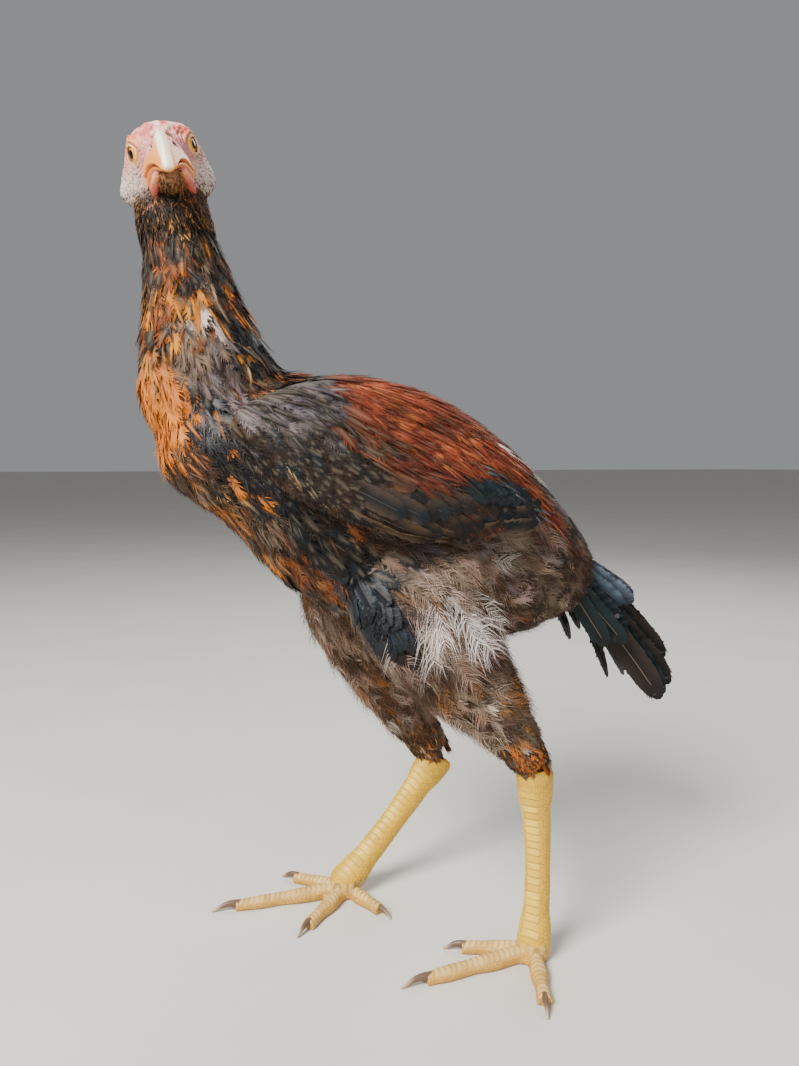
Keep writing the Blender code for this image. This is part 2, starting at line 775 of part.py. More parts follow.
def make_shank(name, side, parts):
    """A scaled shank, in whose front two rows of scutes overlap like slates."""
    top = Vector(HOCK[side])
    foot = Vector((*FOOT[side], 10.0))
    sections = []
    for share, half, front, back in SHANK_SECTIONS:
        lie = top.lerp(foot, share)
        # The shank stands a little back of a straight line, as the real bone does.
        lie.y -= 3.0 * math.sin(math.pi * share)
        deep = SHANK_DEPTH[side] * MM
        sections.append([*point(*lie), half * MM, front * deep, back * deep])
    rings, sides = 25, 12
    made = []
    along = (Vector(sections[-1][:3]) - Vector(sections[0][:3])).normalized()
    across = Vector((1, 0, 0))
    across = (across - along * across.dot(along)).normalized()
    ahead = along.cross(across)
    for i in range(rings):
        share = i / (rings - 1)
        row = section_at(sections, share)
        ring = ring_points(Vector(row[:3]), across, ahead, *row[3:6], sides)
        if 0.16 < share < 0.93:
            for k in range(sides):
                outward = (ring[k] - Vector(row[:3])).normalized()
                facing = outward.dot(ahead)
                if facing > 0.4:
                    # The two rows are half a scute out of step.
                    raised = (i + (k <= sides // 4)) % 2
                    ring[k] += outward * SCUTE_RISE * MM * (1 if raised else -0.6)
        made.append(ring)
    # The pad under the ball of the foot lies flat on the floor.
    ball = Vector(sections[-1][:3])
    for height, half in ((4.5, 9.8), (0.0, 8.2)):
        centre = Vector((ball.x, ball.y, height * MM))
        made.append(
            ring_points(
                centre, Vector((1, 0, 0)), Vector((0, -1, 0)), *(half * MM,) * 3, sides
            )
        )
    return skin_rings(name, made, parts)


def section_at(sections, share):
    """The section at a share of the shank's length, between the named ones."""
    places = [s[0] for s in SHANK_SECTIONS]
    for k in range(len(places) - 1):
        if share <= places[k + 1]:
            t = (share - places[k]) / (places[k + 1] - places[k])
            eased = t * t * (3 - 2 * t)
            return [a + (b - a) * eased if n > 2 else a + (b - a) * t
                    for n, (a, b) in enumerate(zip(sections[k], sections[k + 1]))]
    return sections[-1]


def toe_line(side, toe):
    """Ball and tip of a toe on the floor, as row-axis points in metres."""
    (out, forward), *_ = TOES[side][toe]
    sign = 1 if side == "left" else -1
    x, y = FOOT[side]
    return point(x, y, 0), point(x + sign * out, y + forward, 0)


def make_toe(name, side, toe, parts):
    """A toe flat on the floor, with scutes across its top like overlapping bands."""
    _, root_half, tip_half, scutes, _ = TOES[side][toe]
    start, end = toe_line(side, toe)
    along = (end - start).normalized()
    across = Vector((0, 0, 1)).cross(along)
    length = (end - start).length
    rings = []
    count = scutes * 2 + 2
    for i in range(count):
        share = i / (count - 1)
        half = root_half + (tip_half - root_half) * share
        # Pads swell between the joints.
        half *= 1.0 + 0.08 * math.cos(share * math.pi * (5 if toe == 3 else 4))
        high = TOE_HEIGHT * (1.18 - 0.42 * share) + (0.5 if toe == 1 else 0)
        top = high + (SCUTE_RISE if i % 2 else -0.4 * SCUTE_RISE)
        centre = start + along * length * share + Vector((0, 0, 0.46 * high * MM))
        ring = ring_points(
            centre, across, Vector((0, 0, 1)), half * MM, (top - 0.46 * high) * MM,
            0.62 * high * MM, 8,
        )
        rings.append([Vector((p.x, p.y, max(p.z, 0.0))) for p in ring])
    return skin_rings(name, rings, parts)


def make_claw(name, side, toe, parts):
    """A curved claw, rooted in the end of its toe, whose tip comes down to the floor."""
    _, _, tip_half, _, claw = TOES[side][toe]
    start, end = toe_line(side, toe)
    along = (end - start).normalized()
    across = Vector((0, 0, 1)).cross(along)
    rings = []
    count = 6
    for i in range(count):
        share = i / (count - 1)
        reach = -2.5 + (claw + 2.5) * share
        arch = CLAW_ARCH * math.sin(math.pi * min(1.0, share * 1.2))
        height = CLAW_HEIGHT + arch - CLAW_FALL * share**2
        half = tip_half * 0.62 * (1 - share) ** 0.7 + 0.35
        centre = end + along * reach * MM + Vector((0, 0, height * MM))
        tilt = math.radians(18 + 35 * share)
        up = (Vector((0, 0, 1)) * math.cos(tilt) + along * math.sin(tilt)).normalized()
        rings.append(
            ring_points(centre, across, up, half * 0.8 * MM, half * MM, half * MM, 8)
        )
    return skin_rings(name, rings, parts)


def make_web(name, side, toes, parts):
    """The skin stretched between the roots of two front toes, with a hollow free edge."""
    (root, first_tip), (_, second_tip) = toe_line(side, toes[0]), toe_line(side, toes[1])
    first = (first_tip - root).normalized()
    second = (second_tip - root).normalized()
    halves = sum(TOES[side][toe][1] for toe in toes)
    half_angle = 0.5 * first.angle(second)
    apart = 0.5 * halves / math.sin(half_angle)
    middle = (first + second).normalized()
    outline = [
        root,
        root + first * (apart + 9) * MM,
        root + middle * (apart * math.cos(half_angle) + 4) * MM,
        root + second * (apart + 9) * MM,
    ]
    bottom = [p + Vector((0, 0, 1.2 * MM)) for p in outline]
    top = [p + Vector((0, 0, 4.0 * MM)) for p in outline]
    faces = [(0, 1, 2), (0, 2, 3), (6, 5, 4), (7, 6, 4)]
    for i in range(4):
        j = (i + 1) % 4
        faces += [(i, 4 + i, 4 + j), (i, 4 + j, j)]
    return new_object(name, bottom + top, faces, parts)


def make_feet(side, shank, parts):
    """Toes, webs and claws of one foot, cut clear of the shank and of each other."""
    toes = {n: make_toe(f"{side}_toe_{n}", side, n, parts) for n in TOES[side]}
    claws = {n: make_claw(f"{side}_claw_{n}", side, n, parts) for n in TOES[side]}
    whole = {n: copy_of(toe, parts) for n, toe in toes.items()}
    made = []
    for n, toe in toes.items():
        cutters = [copy_of(shank, parts, 1.4 * GAP), copy_of(claws[n], parts, GAP)]
        nearer = {1: (2, 3, 4), 2: (3,), 3: (), 4: (3,)}[n]
        cutters += [copy_of(whole[k], parts, GAP) for k in nearer]
        for cutter in cutters:
            joined(toe, [cutter], "DIFFERENCE")
        made.append(finish(toe, (0.80, 0.60, 0.27), 0.55))
    for pair in ((2, 3), (3, 4)):
        web = make_web(f"{side}_web_{pair[0]}{pair[1]}", side, pair, parts)
        for cutter in [copy_of(shank, parts, GAP)] + [
            copy_of(whole[k], parts, GAP) for k in pair
        ]:
            joined(web, [cutter], "DIFFERENCE")
        made.append(finish(web, (0.82, 0.62, 0.34), 0.6))
    for claw in claws.values():
        made.append(finish(claw, (0.30, 0.24, 0.20), 0.4))
    for spare in whole.values():
        bpy.data.objects.remove(spare)
    return made


def cut_clear(body, *others, solver="MANIFOLD"):
    """Cuts a body back from its neighbours, one after another, leaving the gap between them."""
    for other in others:
        joined(body, [copy_of(other, body.users_collection[0], GAP)], "DIFFERENCE", solver)
    return body


def build():
    for old in list(bpy.data.objects):
        bpy.data.objects.remove(old)
    parts = bpy.data.collections.new("young_aseel_cockerel")
    bpy.context.scene.collection.children.link(parts)
    rng = random.Random(4)

    trunk = make_trunk(parts)
    neck = cut_clear(make_neck(parts), trunk)
    upper_beak, nostrils = make_upper_beak(parts)
    lower_beak = make_lower_beak(parts)
    head = make_head(parts)
    comb = cut_clear(make_comb(parts), head, upper_beak)
    cut_clear(neck, head, lower_beak)
    cut_clear(head, upper_beak, lower_beak)
    joined(upper_beak, nostrils, "DIFFERENCE", "MANIFOLD")
    eyes = [make_eye("left_eye", 1, parts), make_eye("right_eye", -1, parts)]
    joined(head, [make_lid(side, parts) for side in (-1, 1)], "UNION")
    cut_clear(head, *eyes)

    left_wing, left_feathers = make_wing("left_wing", 1, parts, rng)
    right_wing, right_feathers = make_wing("right_wing", -1, parts, rng)
    thighs = {}
    for side in ("left", "right"):
        thigh = make_thigh(f"{side}_thigh", side, parts)
        locks = thigh_locks(side, thigh, parts, rng)
        cut_clear(thigh, trunk)
        thighs[side] = (thigh, locks)
    tail, tail_feathers = make_tail(parts, rng)
    cut_clear(tail, trunk)
    joined(tail, tail_feathers, "UNION", "MANIFOLD")
    cut_clear(tail, trunk)

    for wing, feathers in ((left_wing, left_feathers), (right_wing, right_feathers)):
        cut_clear(wing, trunk)
        joined(wing, feathers, "UNION", "MANIFOLD")
        cut_clear(wing, trunk)

    for side, (thigh, locks) in thighs.items():
        joined(thigh, locks, "UNION", "MANIFOLD")
        cut_clear(thigh, trunk)
        shank = make_shank(f"{side}_shank", side, parts)
        cut_clear(shank, thigh)
        finish(thigh, (0.26, 0.17, 0.10), 0.9)
        finish(shank, (0.83, 0.62, 0.22), 0.5)
        make_feet(side, shank, parts)

    finish(trunk, (0.20, 0.14, 0.11), 0.9)
    finish(neck, (0.20, 0.12, 0.08), 0.9)
    finish(head, (0.74, 0.46, 0.42), 0.7)
    finish(comb, (0.78, 0.40, 0.42), 0.6)
    finish(upper_beak, (0.86, 0.72, 0.48), 0.35)
    finish(lower_beak, (0.86, 0.60, 0.38), 0.4)
    for eye in eyes:
        finish(eye, (0.75, 0.42, 0.10), 0.1)
    for wing in (left_wing, right_wing):
        finish(wing, (0.33, 0.13, 0.07), 0.8, flat=True)
    finish(tail, (0.03, 0.04, 0.04), 0.5, flat=True)


build()
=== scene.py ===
"""A young Amroha Aseel cockerel in moult, dressed over its solids: skin, feathers, beak and legs."""

import math

import bmesh
import bpy
import numpy as np
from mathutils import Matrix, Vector, noise
from mathutils.bvhtree import BVHTree


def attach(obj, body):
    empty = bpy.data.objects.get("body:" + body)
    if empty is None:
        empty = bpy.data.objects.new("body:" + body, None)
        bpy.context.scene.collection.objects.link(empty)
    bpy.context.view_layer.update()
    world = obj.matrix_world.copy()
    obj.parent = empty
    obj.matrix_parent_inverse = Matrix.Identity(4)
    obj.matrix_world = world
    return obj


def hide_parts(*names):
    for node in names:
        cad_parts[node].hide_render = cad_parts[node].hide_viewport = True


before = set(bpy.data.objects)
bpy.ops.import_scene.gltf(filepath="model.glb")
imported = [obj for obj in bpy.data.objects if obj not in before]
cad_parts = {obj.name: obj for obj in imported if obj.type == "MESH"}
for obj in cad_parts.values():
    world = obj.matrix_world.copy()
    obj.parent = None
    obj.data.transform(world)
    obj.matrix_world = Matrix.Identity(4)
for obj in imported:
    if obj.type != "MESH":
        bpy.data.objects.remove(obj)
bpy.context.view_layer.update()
bpy.ops.object.select_all(action="DESELECT")
rng = np.random.default_rng(11)

# Sizes are in millimetres. Points of the bird are (left, forward, up) from the floor midway
# between its feet, and STANCE is where that is in the frame's axes.
STANCE = np.array([2.2, 2.3, 0.0])
BACK_SLOPE = math.radians(22.0)
TRUNK_MIDDLE = (20.0, 268.0)
EYE_MIDPOINT = (7.0, 157.0, 459.3)
HEAD_YAW, HEAD_PITCH, HEAD_ROLL = math.radians(84.0), math.radians(-14.0), math.radians(-14.0)
EYE_RADIUS = 6.6
EYE_SPREAD = 10.0
FOOT = {1: (46.5, -46.0), -1: (-64.0, 38.0)}
HOCK = {1: (50.0, -41.0, 121.0), -1: (-61.0, -30.0, 92.0)}
SHANK_DEPTH = {1: 1.0, -1: 1.14}
ANKLE_HEIGHT = 10.0
SHANK_BOW = 3.0
EYE_TURN = math.radians(64)
SIDE_NAME = {1: "left", -1: "right"}
# The limits of a colour's linear value.
DARKEST, PALEST = 0.002, 0.9

# Along the trunk's axis, half width, height above, depth below.
TRUNK_SECTIONS = [
    (-136, 10, 13, 10), (-122, 22, 30, 21), (-90, 35, 46, 46), (-50, 45, 62, 57),
    (0, 51, 72, 66), (50, 52, 66, 62), (90, 46, 50, 41), (118, 38, 41, 34),
    (138, 26, 30, 27), (147, 12, 15, 13),
]
# Centre, half width, depth in front, depth behind.
NECK_SECTIONS = [
    ((0, 112, 310), 27, 38, 34), ((0, 130, 337), 30, 37, 35), ((0, 139, 360), 26, 31, 32),
    ((-1, 144, 385), 21.5, 24, 25.5), ((-3, 148, 410), 18.5, 19.5, 20.5),
    ((-4, 151, 428), 20, 19, 19), ((-5, 153, 443), 19, 17, 17),
]
# Centre, half width, front, back.
THIGH_SECTIONS = {
    1: [
        ((34, 50, 246), 19, 24, 38), ((44, 31, 216), 23, 31, 46), ((49, 6, 186), 21, 28, 28),
        ((51, -19, 156), 15, 19, 14.5), ((50.5, -33, 135), 12.5, 13, 11.5),
        ((50, -39, 124), 10.5, 11, 12),
    ],
    -1: [
        ((-34, 56, 240), 19, 26, 36), ((-46, 40, 206), 22, 28, 38), ((-54, 20, 168), 19, 23, 26),
        ((-59, -1, 134), 15, 17, 17), ((-61, -17, 110), 12.5, 13, 14.5),
        ((-61, -25, 97), 11, 11.5, 13),
    ],
}
# Centre for the left side, half thickness, upper, lower, lean in degrees.
WING_SECTIONS = [
    ((40, 129, 320), 5, 8, 7, 8), ((47, 121, 318), 8, 17, 12, 10),
    ((51, 100, 313), 10, 31, 27, 14), ((52, 70, 306), 10.5, 40, 36, 18),
    ((51, 35, 299), 10, 41, 39, 20), ((49, 5, 289), 8.5, 34, 32, 20),
    ((46, -20, 280), 6.5, 24, 22, 18), ((43, -40, 272), 4, 12, 11, 16),
]
TAIL_ROOT = [(-118, 15, 17, 13), (-130, 13, 15, 12), (-141, 9, 11, 9), (-150, 5, 6, 5)]
# Share of the way down, half width, front, back.
SHANK_SECTIONS = [
    (0.00, 8.5, 8.5, 10.5), (0.05, 9.6, 10.0, 12.5), (0.12, 9.0, 10.0, 11.5),
    (0.28, 7.0, 8.2, 8.6), (0.55, 6.6, 7.4, 7.6), (0.80, 7.2, 7.8, 8.0),
    (0.93, 9.5, 9.5, 9.5), (1.00, 10.5, 10.0, 9.5),
]
# Tip from the ball of the foot (outward, forward), half width at root and tip, claw length.
TOES = {
    1: {1: (-29, -19, 4.6, 3.4, 11), 2: (-21, 38, 5.2, 3.8, 12),
        3: (-1, 71, 5.8, 4.0, 16), 4: (41, 18, 5.2, 3.8, 12)},
    -1: {1: (-32, -13, 4.6, 3.4, 11), 2: (-31, 36, 5.2, 3.8, 12),
         3: (9, 75, 5.8, 4.0, 16), 4: (30, 28, 5.2, 3.8, 12)},
}
TOE_HEIGHT = 8.0
# Place, half width, and heights of the widest line, the top and the bottom.
HEAD_SECTIONS = [
    (-32, 7, -4, 3, -13), (-28, 12, -5, 7.5, -21), (-20, 16.5, -5, 11.5, -27),
    (-9, 18.8, -4, 13.2, -29), (1, 17.2, -3, 13, -26), (8, 13.4, -3, 11.2, -23.5),
    (13, 10.0, -6, 6, -21.5), (16.5, 8.0, -11, -2, -20.5), (20.5, 5.6, -13, -8, -19.0),
    (24, 3.4, -13.8, -11, -16.5),
]


def unit(v):
    v = np.asarray(v, float)
    return v / np.maximum(np.linalg.norm(v, axis=-1, keepdims=True), 1e-9)


def dot(a, b):
    return (a * b).sum(-1, keepdims=True)


def smooth(x, low=0.0, high=1.0):
    t = np.clip((np.asarray(x, float) - low) / (high - low), 0, 1)
    return t * t * (3 - 2 * t)


def place(left, forward, up):
    """A point of the bird in the frame's axes, in millimetres."""
    return np.array([left + STANCE[0], -forward + STANCE[1], up], float)


def bird(points):
    """(left, forward, up) of points in the frame's axes."""
    return (points - STANCE) * [1, -1, 1]


def head_view(b):
    """(forward, left, up) in the head's own axes of points given as (left, forward, up)."""
    return in_head(b * [1, -1, 1] + STANCE).T


def heading(left, forward, up):
    return unit([left, -forward, up])


def trunk_place(along, across, above):
    run, lift = math.cos(BACK_SLOPE), math.sin(BACK_SLOPE)
    return place(
        across, TRUNK_MIDDLE[0] + along * run - above * lift,
        TRUNK_MIDDLE[1] + along * lift + above * run,
    )


def head_axes():
    """The head's forward, left and up directions."""
    forward = heading(
        math.sin(HEAD_YAW) * math.cos(HEAD_PITCH), math.cos(HEAD_YAW) * math.cos(HEAD_PITCH),
        math.sin(HEAD_PITCH),
    )
    level = unit(np.cross([0, 0, 1], forward))
    left = level * math.cos(HEAD_ROLL) - np.cross(forward, level) * math.sin(HEAD_ROLL)
    return forward, left, np.cross(forward, left)


HEAD_FORWARD, HEAD_LEFT, HEAD_UP = head_axes()
HEAD_FRAME = np.array([HEAD_FORWARD, HEAD_LEFT, HEAD_UP])


def head_place(forward, left, up):
    return place(*EYE_MIDPOINT) + np.array([forward, left, up], float) @ HEAD_FRAME


def in_head(points):
    """(forward, left, up) in the head's own axes."""
    return (points - place(*EYE_MIDPOINT)) @ HEAD_FRAME.T


def through(rows, share):
    """Rows of numbers at shares of the way down a list, on a smooth curve."""
    rows = np.asarray(rows, float)
    last = len(rows) - 1
    at = np.clip(np.asarray(share, float), 0, 1) * last
    first = np.minimum(at.astype(int), last - 1)
    t = (at - first)[:, None]
    p0, p1, p2, p3 = (rows[np.clip(first + k, 0, last)] for k in (-1, 0, 1, 2))
    return 0.5 * (
        2 * p1 + (p2 - p0) * t + (2 * p0 - 5 * p1 + 4 * p2 - p3) * t**2
        + (3 * p1 - p0 - 3 * p2 + p3) * t**3
    )


class Tube:
    """A rounded form through oval sections: rows of x, y, z, half, above, below."""

    STATIONS = 160
    JITTER = 0.35

    def __init__(self, rows, across=(1, 0, 0), upward=None, leans=None, pinch=1.0):
        self.pinch = pinch
        share = np.linspace(0, 1, self.STATIONS)
        table = through(rows, share)
        self.centres, self.sizes = table[:, :3], np.maximum(table[:, 3:6], 0.2)
        self.along = unit(np.gradient(self.centres, axis=0))
        across = np.tile(np.asarray(across, float), (self.STATIONS, 1))
        if leans is not None:
            lean = np.radians(through([[v] for v in leans], share)[:, 0])
            across = np.stack([across[:, 0] * np.cos(lean), 0 * lean, np.sin(lean)], 1)
        if upward is None:
            self.side = unit(across - self.along * dot(self.along, across))
            self.up = np.cross(self.along, self.side)
        else:
            self.side = across
            self.up = np.tile(np.asarray(upward, float), (self.STATIONS, 1))
        if leans is not None:
            self.up = self.up * np.sign(self.up[:, 2:3])
        self.swells = []

    def row(self, array, share):
        at = np.clip(share, 0, 1) * (self.STATIONS - 1)
        first = np.minimum(at.astype(int), self.STATIONS - 2)
        t = (at - first)[..., None]
        return array[first] * (1 - t) + array[first + 1] * t

    def points(self, share, turn, inset=0.0):
        share = np.asarray(share, float)
        sizes = self.row(self.sizes, share)
        c, s = np.cos(turn)[..., None], np.sin(turn)[..., None]
        c, s = (np.sign(v) * np.abs(v) ** self.pinch for v in (c, s))
        half = sizes[..., 0:1] - inset
        tall = np.where(s > 0, sizes[..., 1:2], sizes[..., 2:3]) - inset
        middle = self.row(self.centres, share)
        made = middle + self.row(self.side, share) * c * np.maximum(half, 0.5)
        made = made + self.row(self.up, share) * s * np.maximum(tall, 0.5)
        for centre, radius, amount, direction in self.swells:
            away = ((made - centre) ** 2).sum(-1, keepdims=True) / radius**2
            push = unit(made - middle) if direction is None else direction
            made = made + push * amount * np.exp(-away)
        return made

    def lattice(self, spacing, start, stop):
        """Roots in staggered rows, a spacing apart: shares and turns."""
        length = np.linalg.norm(np.diff(self.centres, axis=0), axis=1).sum()
        count = max(2, int(length * (stop - start) / (spacing * 0.87)))
        shares, turns = [], []
        for row in range(count):
            share = start + (stop - start) * (row + 0.5) / count
            half, above, below = self.row(self.sizes, np.array(share))
            tall = (above + below) / 2
            around = math.pi * (3 * (half + tall) - math.sqrt((3 * half + tall) * (half + 3 * tall)))
            n = max(3, int(around / spacing))
            turn = (np.arange(n) + 0.5 * (row % 2) + rng.uniform(-self.JITTER, self.JITTER, n)) / n
            moved = rng.uniform(-self.JITTER, self.JITTER, n)
            shares.append(share + moved * (stop - start) / count)
            turns.append(turn * 2 * math.pi)
        return np.concatenate(shares), np.concatenate(turns)


trunk = Tube([[*trunk_place(a, 0, 0), h, up, down] for a, h, up, down in TRUNK_SECTIONS])
trunk.swells = [(place(12, 160, 318), 24, 5, None), (place(0, 118, 250), 26, 3, None)]
neck = Tube([[*place(*c), half, back, front] for c, half, front, back in NECK_SECTIONS])
neck.swells = [(place(10, 168, 335), 24, 4, None)]
thigh = {
    side: Tube([[*place(*centre), *sizes] for centre, *sizes in sections])
    for side, sections in THIGH_SECTIONS.items()
}
tail_root = Tube([[*trunk_place(a, 0, -1), h, up, down] for a, h, up, down in TAIL_ROOT])


def wing_form(side, thinner=0.0):
    rows = [
        [*place(side * c[0], c[1], c[2]), half - thinner, up - thinner, down - thinner]
        for c, half, up, down, _ in WING_SECTIONS
    ]
    return Tube(rows, across=(side, 0, 0), leans=[row[4] for row in WING_SECTIONS])


wing = {side: wing_form(side) for side in (1, -1)}
head = Tube(
    [
        [*head_place(f, 0, mid), half, top - mid, mid - bottom]
        for f, half, mid, top, bottom in HEAD_SECTIONS
    ],
    across=HEAD_LEFT, upward=HEAD_UP,
)
# The feathered cheeks, the brows and the hollows in front of the eyes.
for side, cheek in ((1, 7.5), (-1, 10.5)):
    head.swells += [
        (head_place(-13, side * 15, -19), 12.5, cheek, HEAD_LEFT * side),
        (head_place(2, side * 14, 7), 6, 1.8, None),
        (head_place(10, side * 12, -3), 6, -1.4, None),
    ]


# Meshes.


def mesh_piece(name, points, faces):
    """An object at the origin from points in millimetres and rows of corners."""
    mesh = bpy.data.meshes.new(name)
    faces = np.asarray(faces, np.int32)
    sides = faces.shape[1]
    mesh.vertices.add(len(points))
    mesh.vertices.foreach_set("co", (np.asarray(points, np.float32) * 0.001).ravel())
    mesh.loops.add(faces.size)
    mesh.loops.foreach_set("vertex_index", faces.ravel())
    mesh.polygons.add(len(faces))
    mesh.polygons.foreach_set("loop_start", np.arange(len(faces), dtype=np.int32) * sides)
    mesh.update(calc_edges=True)
    mesh.validate()
    mesh.shade_smooth()
    piece = bpy.data.objects.new(name, mesh)
    bpy.context.scene.collection.objects.link(piece)
    return piece


def tube_grid(shares, sides, reach):
    """Points and triangles of a closed grid over a form, with a pole at each end."""
    turn = np.arange(sides) * 2 * math.pi / sides
    grid = reach(np.repeat(shares, sides), np.tile(turn, len(shares)))
    rings = grid.reshape(len(shares), sides, 3)
    points = np.concatenate([grid, rings[0].mean(0)[None], rings[-1].mean(0)[None]])
    i = np.arange(len(shares) - 1)[:, None] * sides
    j = np.arange(sides)[None]
    k = (j + 1) % sides
    a, b, c, d = i + j, i + k, i + sides + k, i + sides + j
    faces = [np.stack([a, b, c], -1).reshape(-1, 3), np.stack([a, c, d], -1).reshape(-1, 3)]
    first, last = len(grid), len(grid) + 1
    low = (len(shares) - 1) * sides
    faces.append(np.stack([(j + 1)[0] % sides, j[0], np.full(sides, first)], -1))
    faces.append(np.stack([low + j[0], low + k[0], np.full(sides, last)], -1))
    return points, np.concatenate(faces)


def form_piece(name, tube, rings, sides, inset=0.0, start=0.0, stop=1.0):
    points, faces = tube_grid(
        np.linspace(start, stop, rings), sides, lambda s, t: tube.points(s, t, inset)
    )
    piece = mesh_piece(name, points, faces)
    face_out(piece)
    return piece


def face_out(piece):
    shape = bmesh.new()
    shape.from_mesh(piece.data)
    bmesh.ops.recalc_face_normals(shape, faces=shape.faces)
    shape.to_mesh(piece.data)
    shape.free()


def pick(piece, *others):
    bpy.ops.object.select_all(action="DESELECT")
    for one in (*others, piece):
        one.select_set(True)
    bpy.context.view_layer.objects.active = piece


def shaped(piece, kind, **settings):
    """Adds a modifier and applies it."""
    pick(piece)
    modifier = piece.modifiers.new(kind.lower(), kind)
    for key, value in settings.items():
        setattr(modifier, key, value)
    bpy.ops.object.modifier_apply(modifier=modifier.name)
    return piece


def merged(name, pieces, voxel, rounds=2):
    """Joins forms into one closed surface and evens it out."""
    pick(pieces[0], *pieces[1:])
    bpy.ops.object.join()
    piece = pieces[0]
    piece.name = name
    piece.data.name = name
    shaped(piece, "REMESH", mode="VOXEL", voxel_size=voxel * 0.001, use_smooth_shade=True)
    if rounds:
        shaped(piece, "SMOOTH", factor=0.5, iterations=rounds)
    return piece


def points_of(piece):
    """Places and normals of a piece's vertices, in millimetres."""
    count = len(piece.data.vertices)
    where, facing = np.empty(count * 3, np.float32), np.empty(count * 3, np.float32)
    piece.data.vertices.foreach_get("co", where)
    piece.data.vertex_normals.foreach_get("vector", facing)
    return where.reshape(-1, 3).astype(float) * 1000, facing.reshape(-1, 3).astype(float)


def put_points(piece, points):
    piece.data.vertices.foreach_set("co", (points * 0.001).astype(np.float32).ravel())
    piece.data.update()


def colour_points(piece, colours, name="Tint"):
    """Stores a colour, and in its fourth number a gloss, for each vertex."""
    layer = piece.data.attributes.new(name, "FLOAT_COLOR", "POINT")
    layer.data.foreach_set("color", colours.astype(np.float32).ravel())


def grain(points, size, seed=0.0, octaves=2):
    """Soft noise from about -1 to 1 whose features are a size apart."""
    spots = points / size + seed
    return np.array([noise.fractal(Vector(p), 1.0, 2.0, octaves) for p in spots])


def tree_of(piece):
    """A search tree of a piece's surface, in millimetres."""
    where, _ = points_of(piece)
    corners = [tuple(face.vertices) for face in piece.data.polygons]
    return BVHTree.FromPolygons(where.tolist(), corners)


def nearest(tree, points):
    """Nearest places on a surface, with its facing there and how far they are."""
    where, far = np.empty((len(points), 3)), np.empty(len(points))
    facing = where.copy()
    for i, spot in enumerate(points.tolist()):
        where[i], facing[i], _, far[i] = tree.find_nearest(spot)
    return where, facing, far


def buried(tree, points, least=2.0):
    """Which points lie more than a depth inside a closed form."""
    where, facing, _ = nearest(tree, points)
    return dot(points - where, facing)[:, 0] < -least


# Feathers.


def turned_out(spots, faces):
    """A shape's corners and triangles, with every triangle facing away from the body."""
    spots, faces = np.array(spots), np.array(faces)
    a, b, c = (spots[faces[:, k], :2] for k in range(3))
    ahead, aside = b - a, c - a
    inward = ahead[:, 0] * aside[:, 1] > ahead[:, 1] * aside[:, 0]
    faces[inward] = faces[inward, ::-1]
    return spots, faces


def feather_shape(barbs, inner, rag, slant, outline, seed, split=0, quill=0.0, fray=0.0):
    """One feather's corners (along, across, lift) and triangles.

    A vane either side of the shaft reaches out to an inner share of its width, and each barb runs
    on past it as a point, so that the edge is ragged. split leaves out that many barbs, quill is
    the half width of a raised shaft, and fray narrows the closed vane towards the tip.
    """
    local = np.random.default_rng(seed)
    spots, faces = [], []

    def spot(*where):
        spots.append(where)
        return len(spots) - 1

    # The steps shorten towards the tip, where the outline turns.
    steps = 0.97 * (1 - (1 - np.linspace(0.0, 1.0, barbs + 1)) ** 1.3)
    shaft = [spot(t, 0.0, 0.10 * (1 - t)) for t in steps]
    end = spot(1.01 + 0.5 * slant, 0.0, 0.0)
    for side in (-1, 1):
        closed = [inner * (1 + 0.15 * fray - fray * t) * outline(t) for t in steps]
        rim = [spot(t + slant * c, side * c, 0.0) for t, c in zip(steps, closed)]
        torn = set(local.integers(1, barbs, size=split).tolist())
        inside = shaft
        if quill:
            inside = [spot(t, side * quill * (1.1 - 0.7 * t), 0.0) for t in steps]
            for k in range(barbs):
                faces += [(shaft[k], shaft[k + 1], inside[k + 1]),
                          (shaft[k], inside[k + 1], inside[k])]
        for k in range(barbs):
            middle = (steps[k] + steps[k + 1]) / 2
            reach = outline(middle) * (1 - rag * local.random())
            faces += [(inside[k], inside[k + 1], rim[k + 1]), (inside[k], rim[k + 1], rim[k])]
            if k not in torn:
                tip = spot(
                    middle + slant * (0.8 + 0.5 * local.random()) * (1 + 0.3 * middle),
                    side * reach, 0.25 * (local.random() - 0.4),
                )
                faces.append((rim[k], rim[k + 1], tip))
        shoulder = spot(0.995 + 0.6 * slant, side * 0.6 * closed[-1], 0.0)
        faces += [(shaft[-1], rim[-1], shoulder), (shaft[-1], shoulder, end)]
    return turned_out(spots, faces)


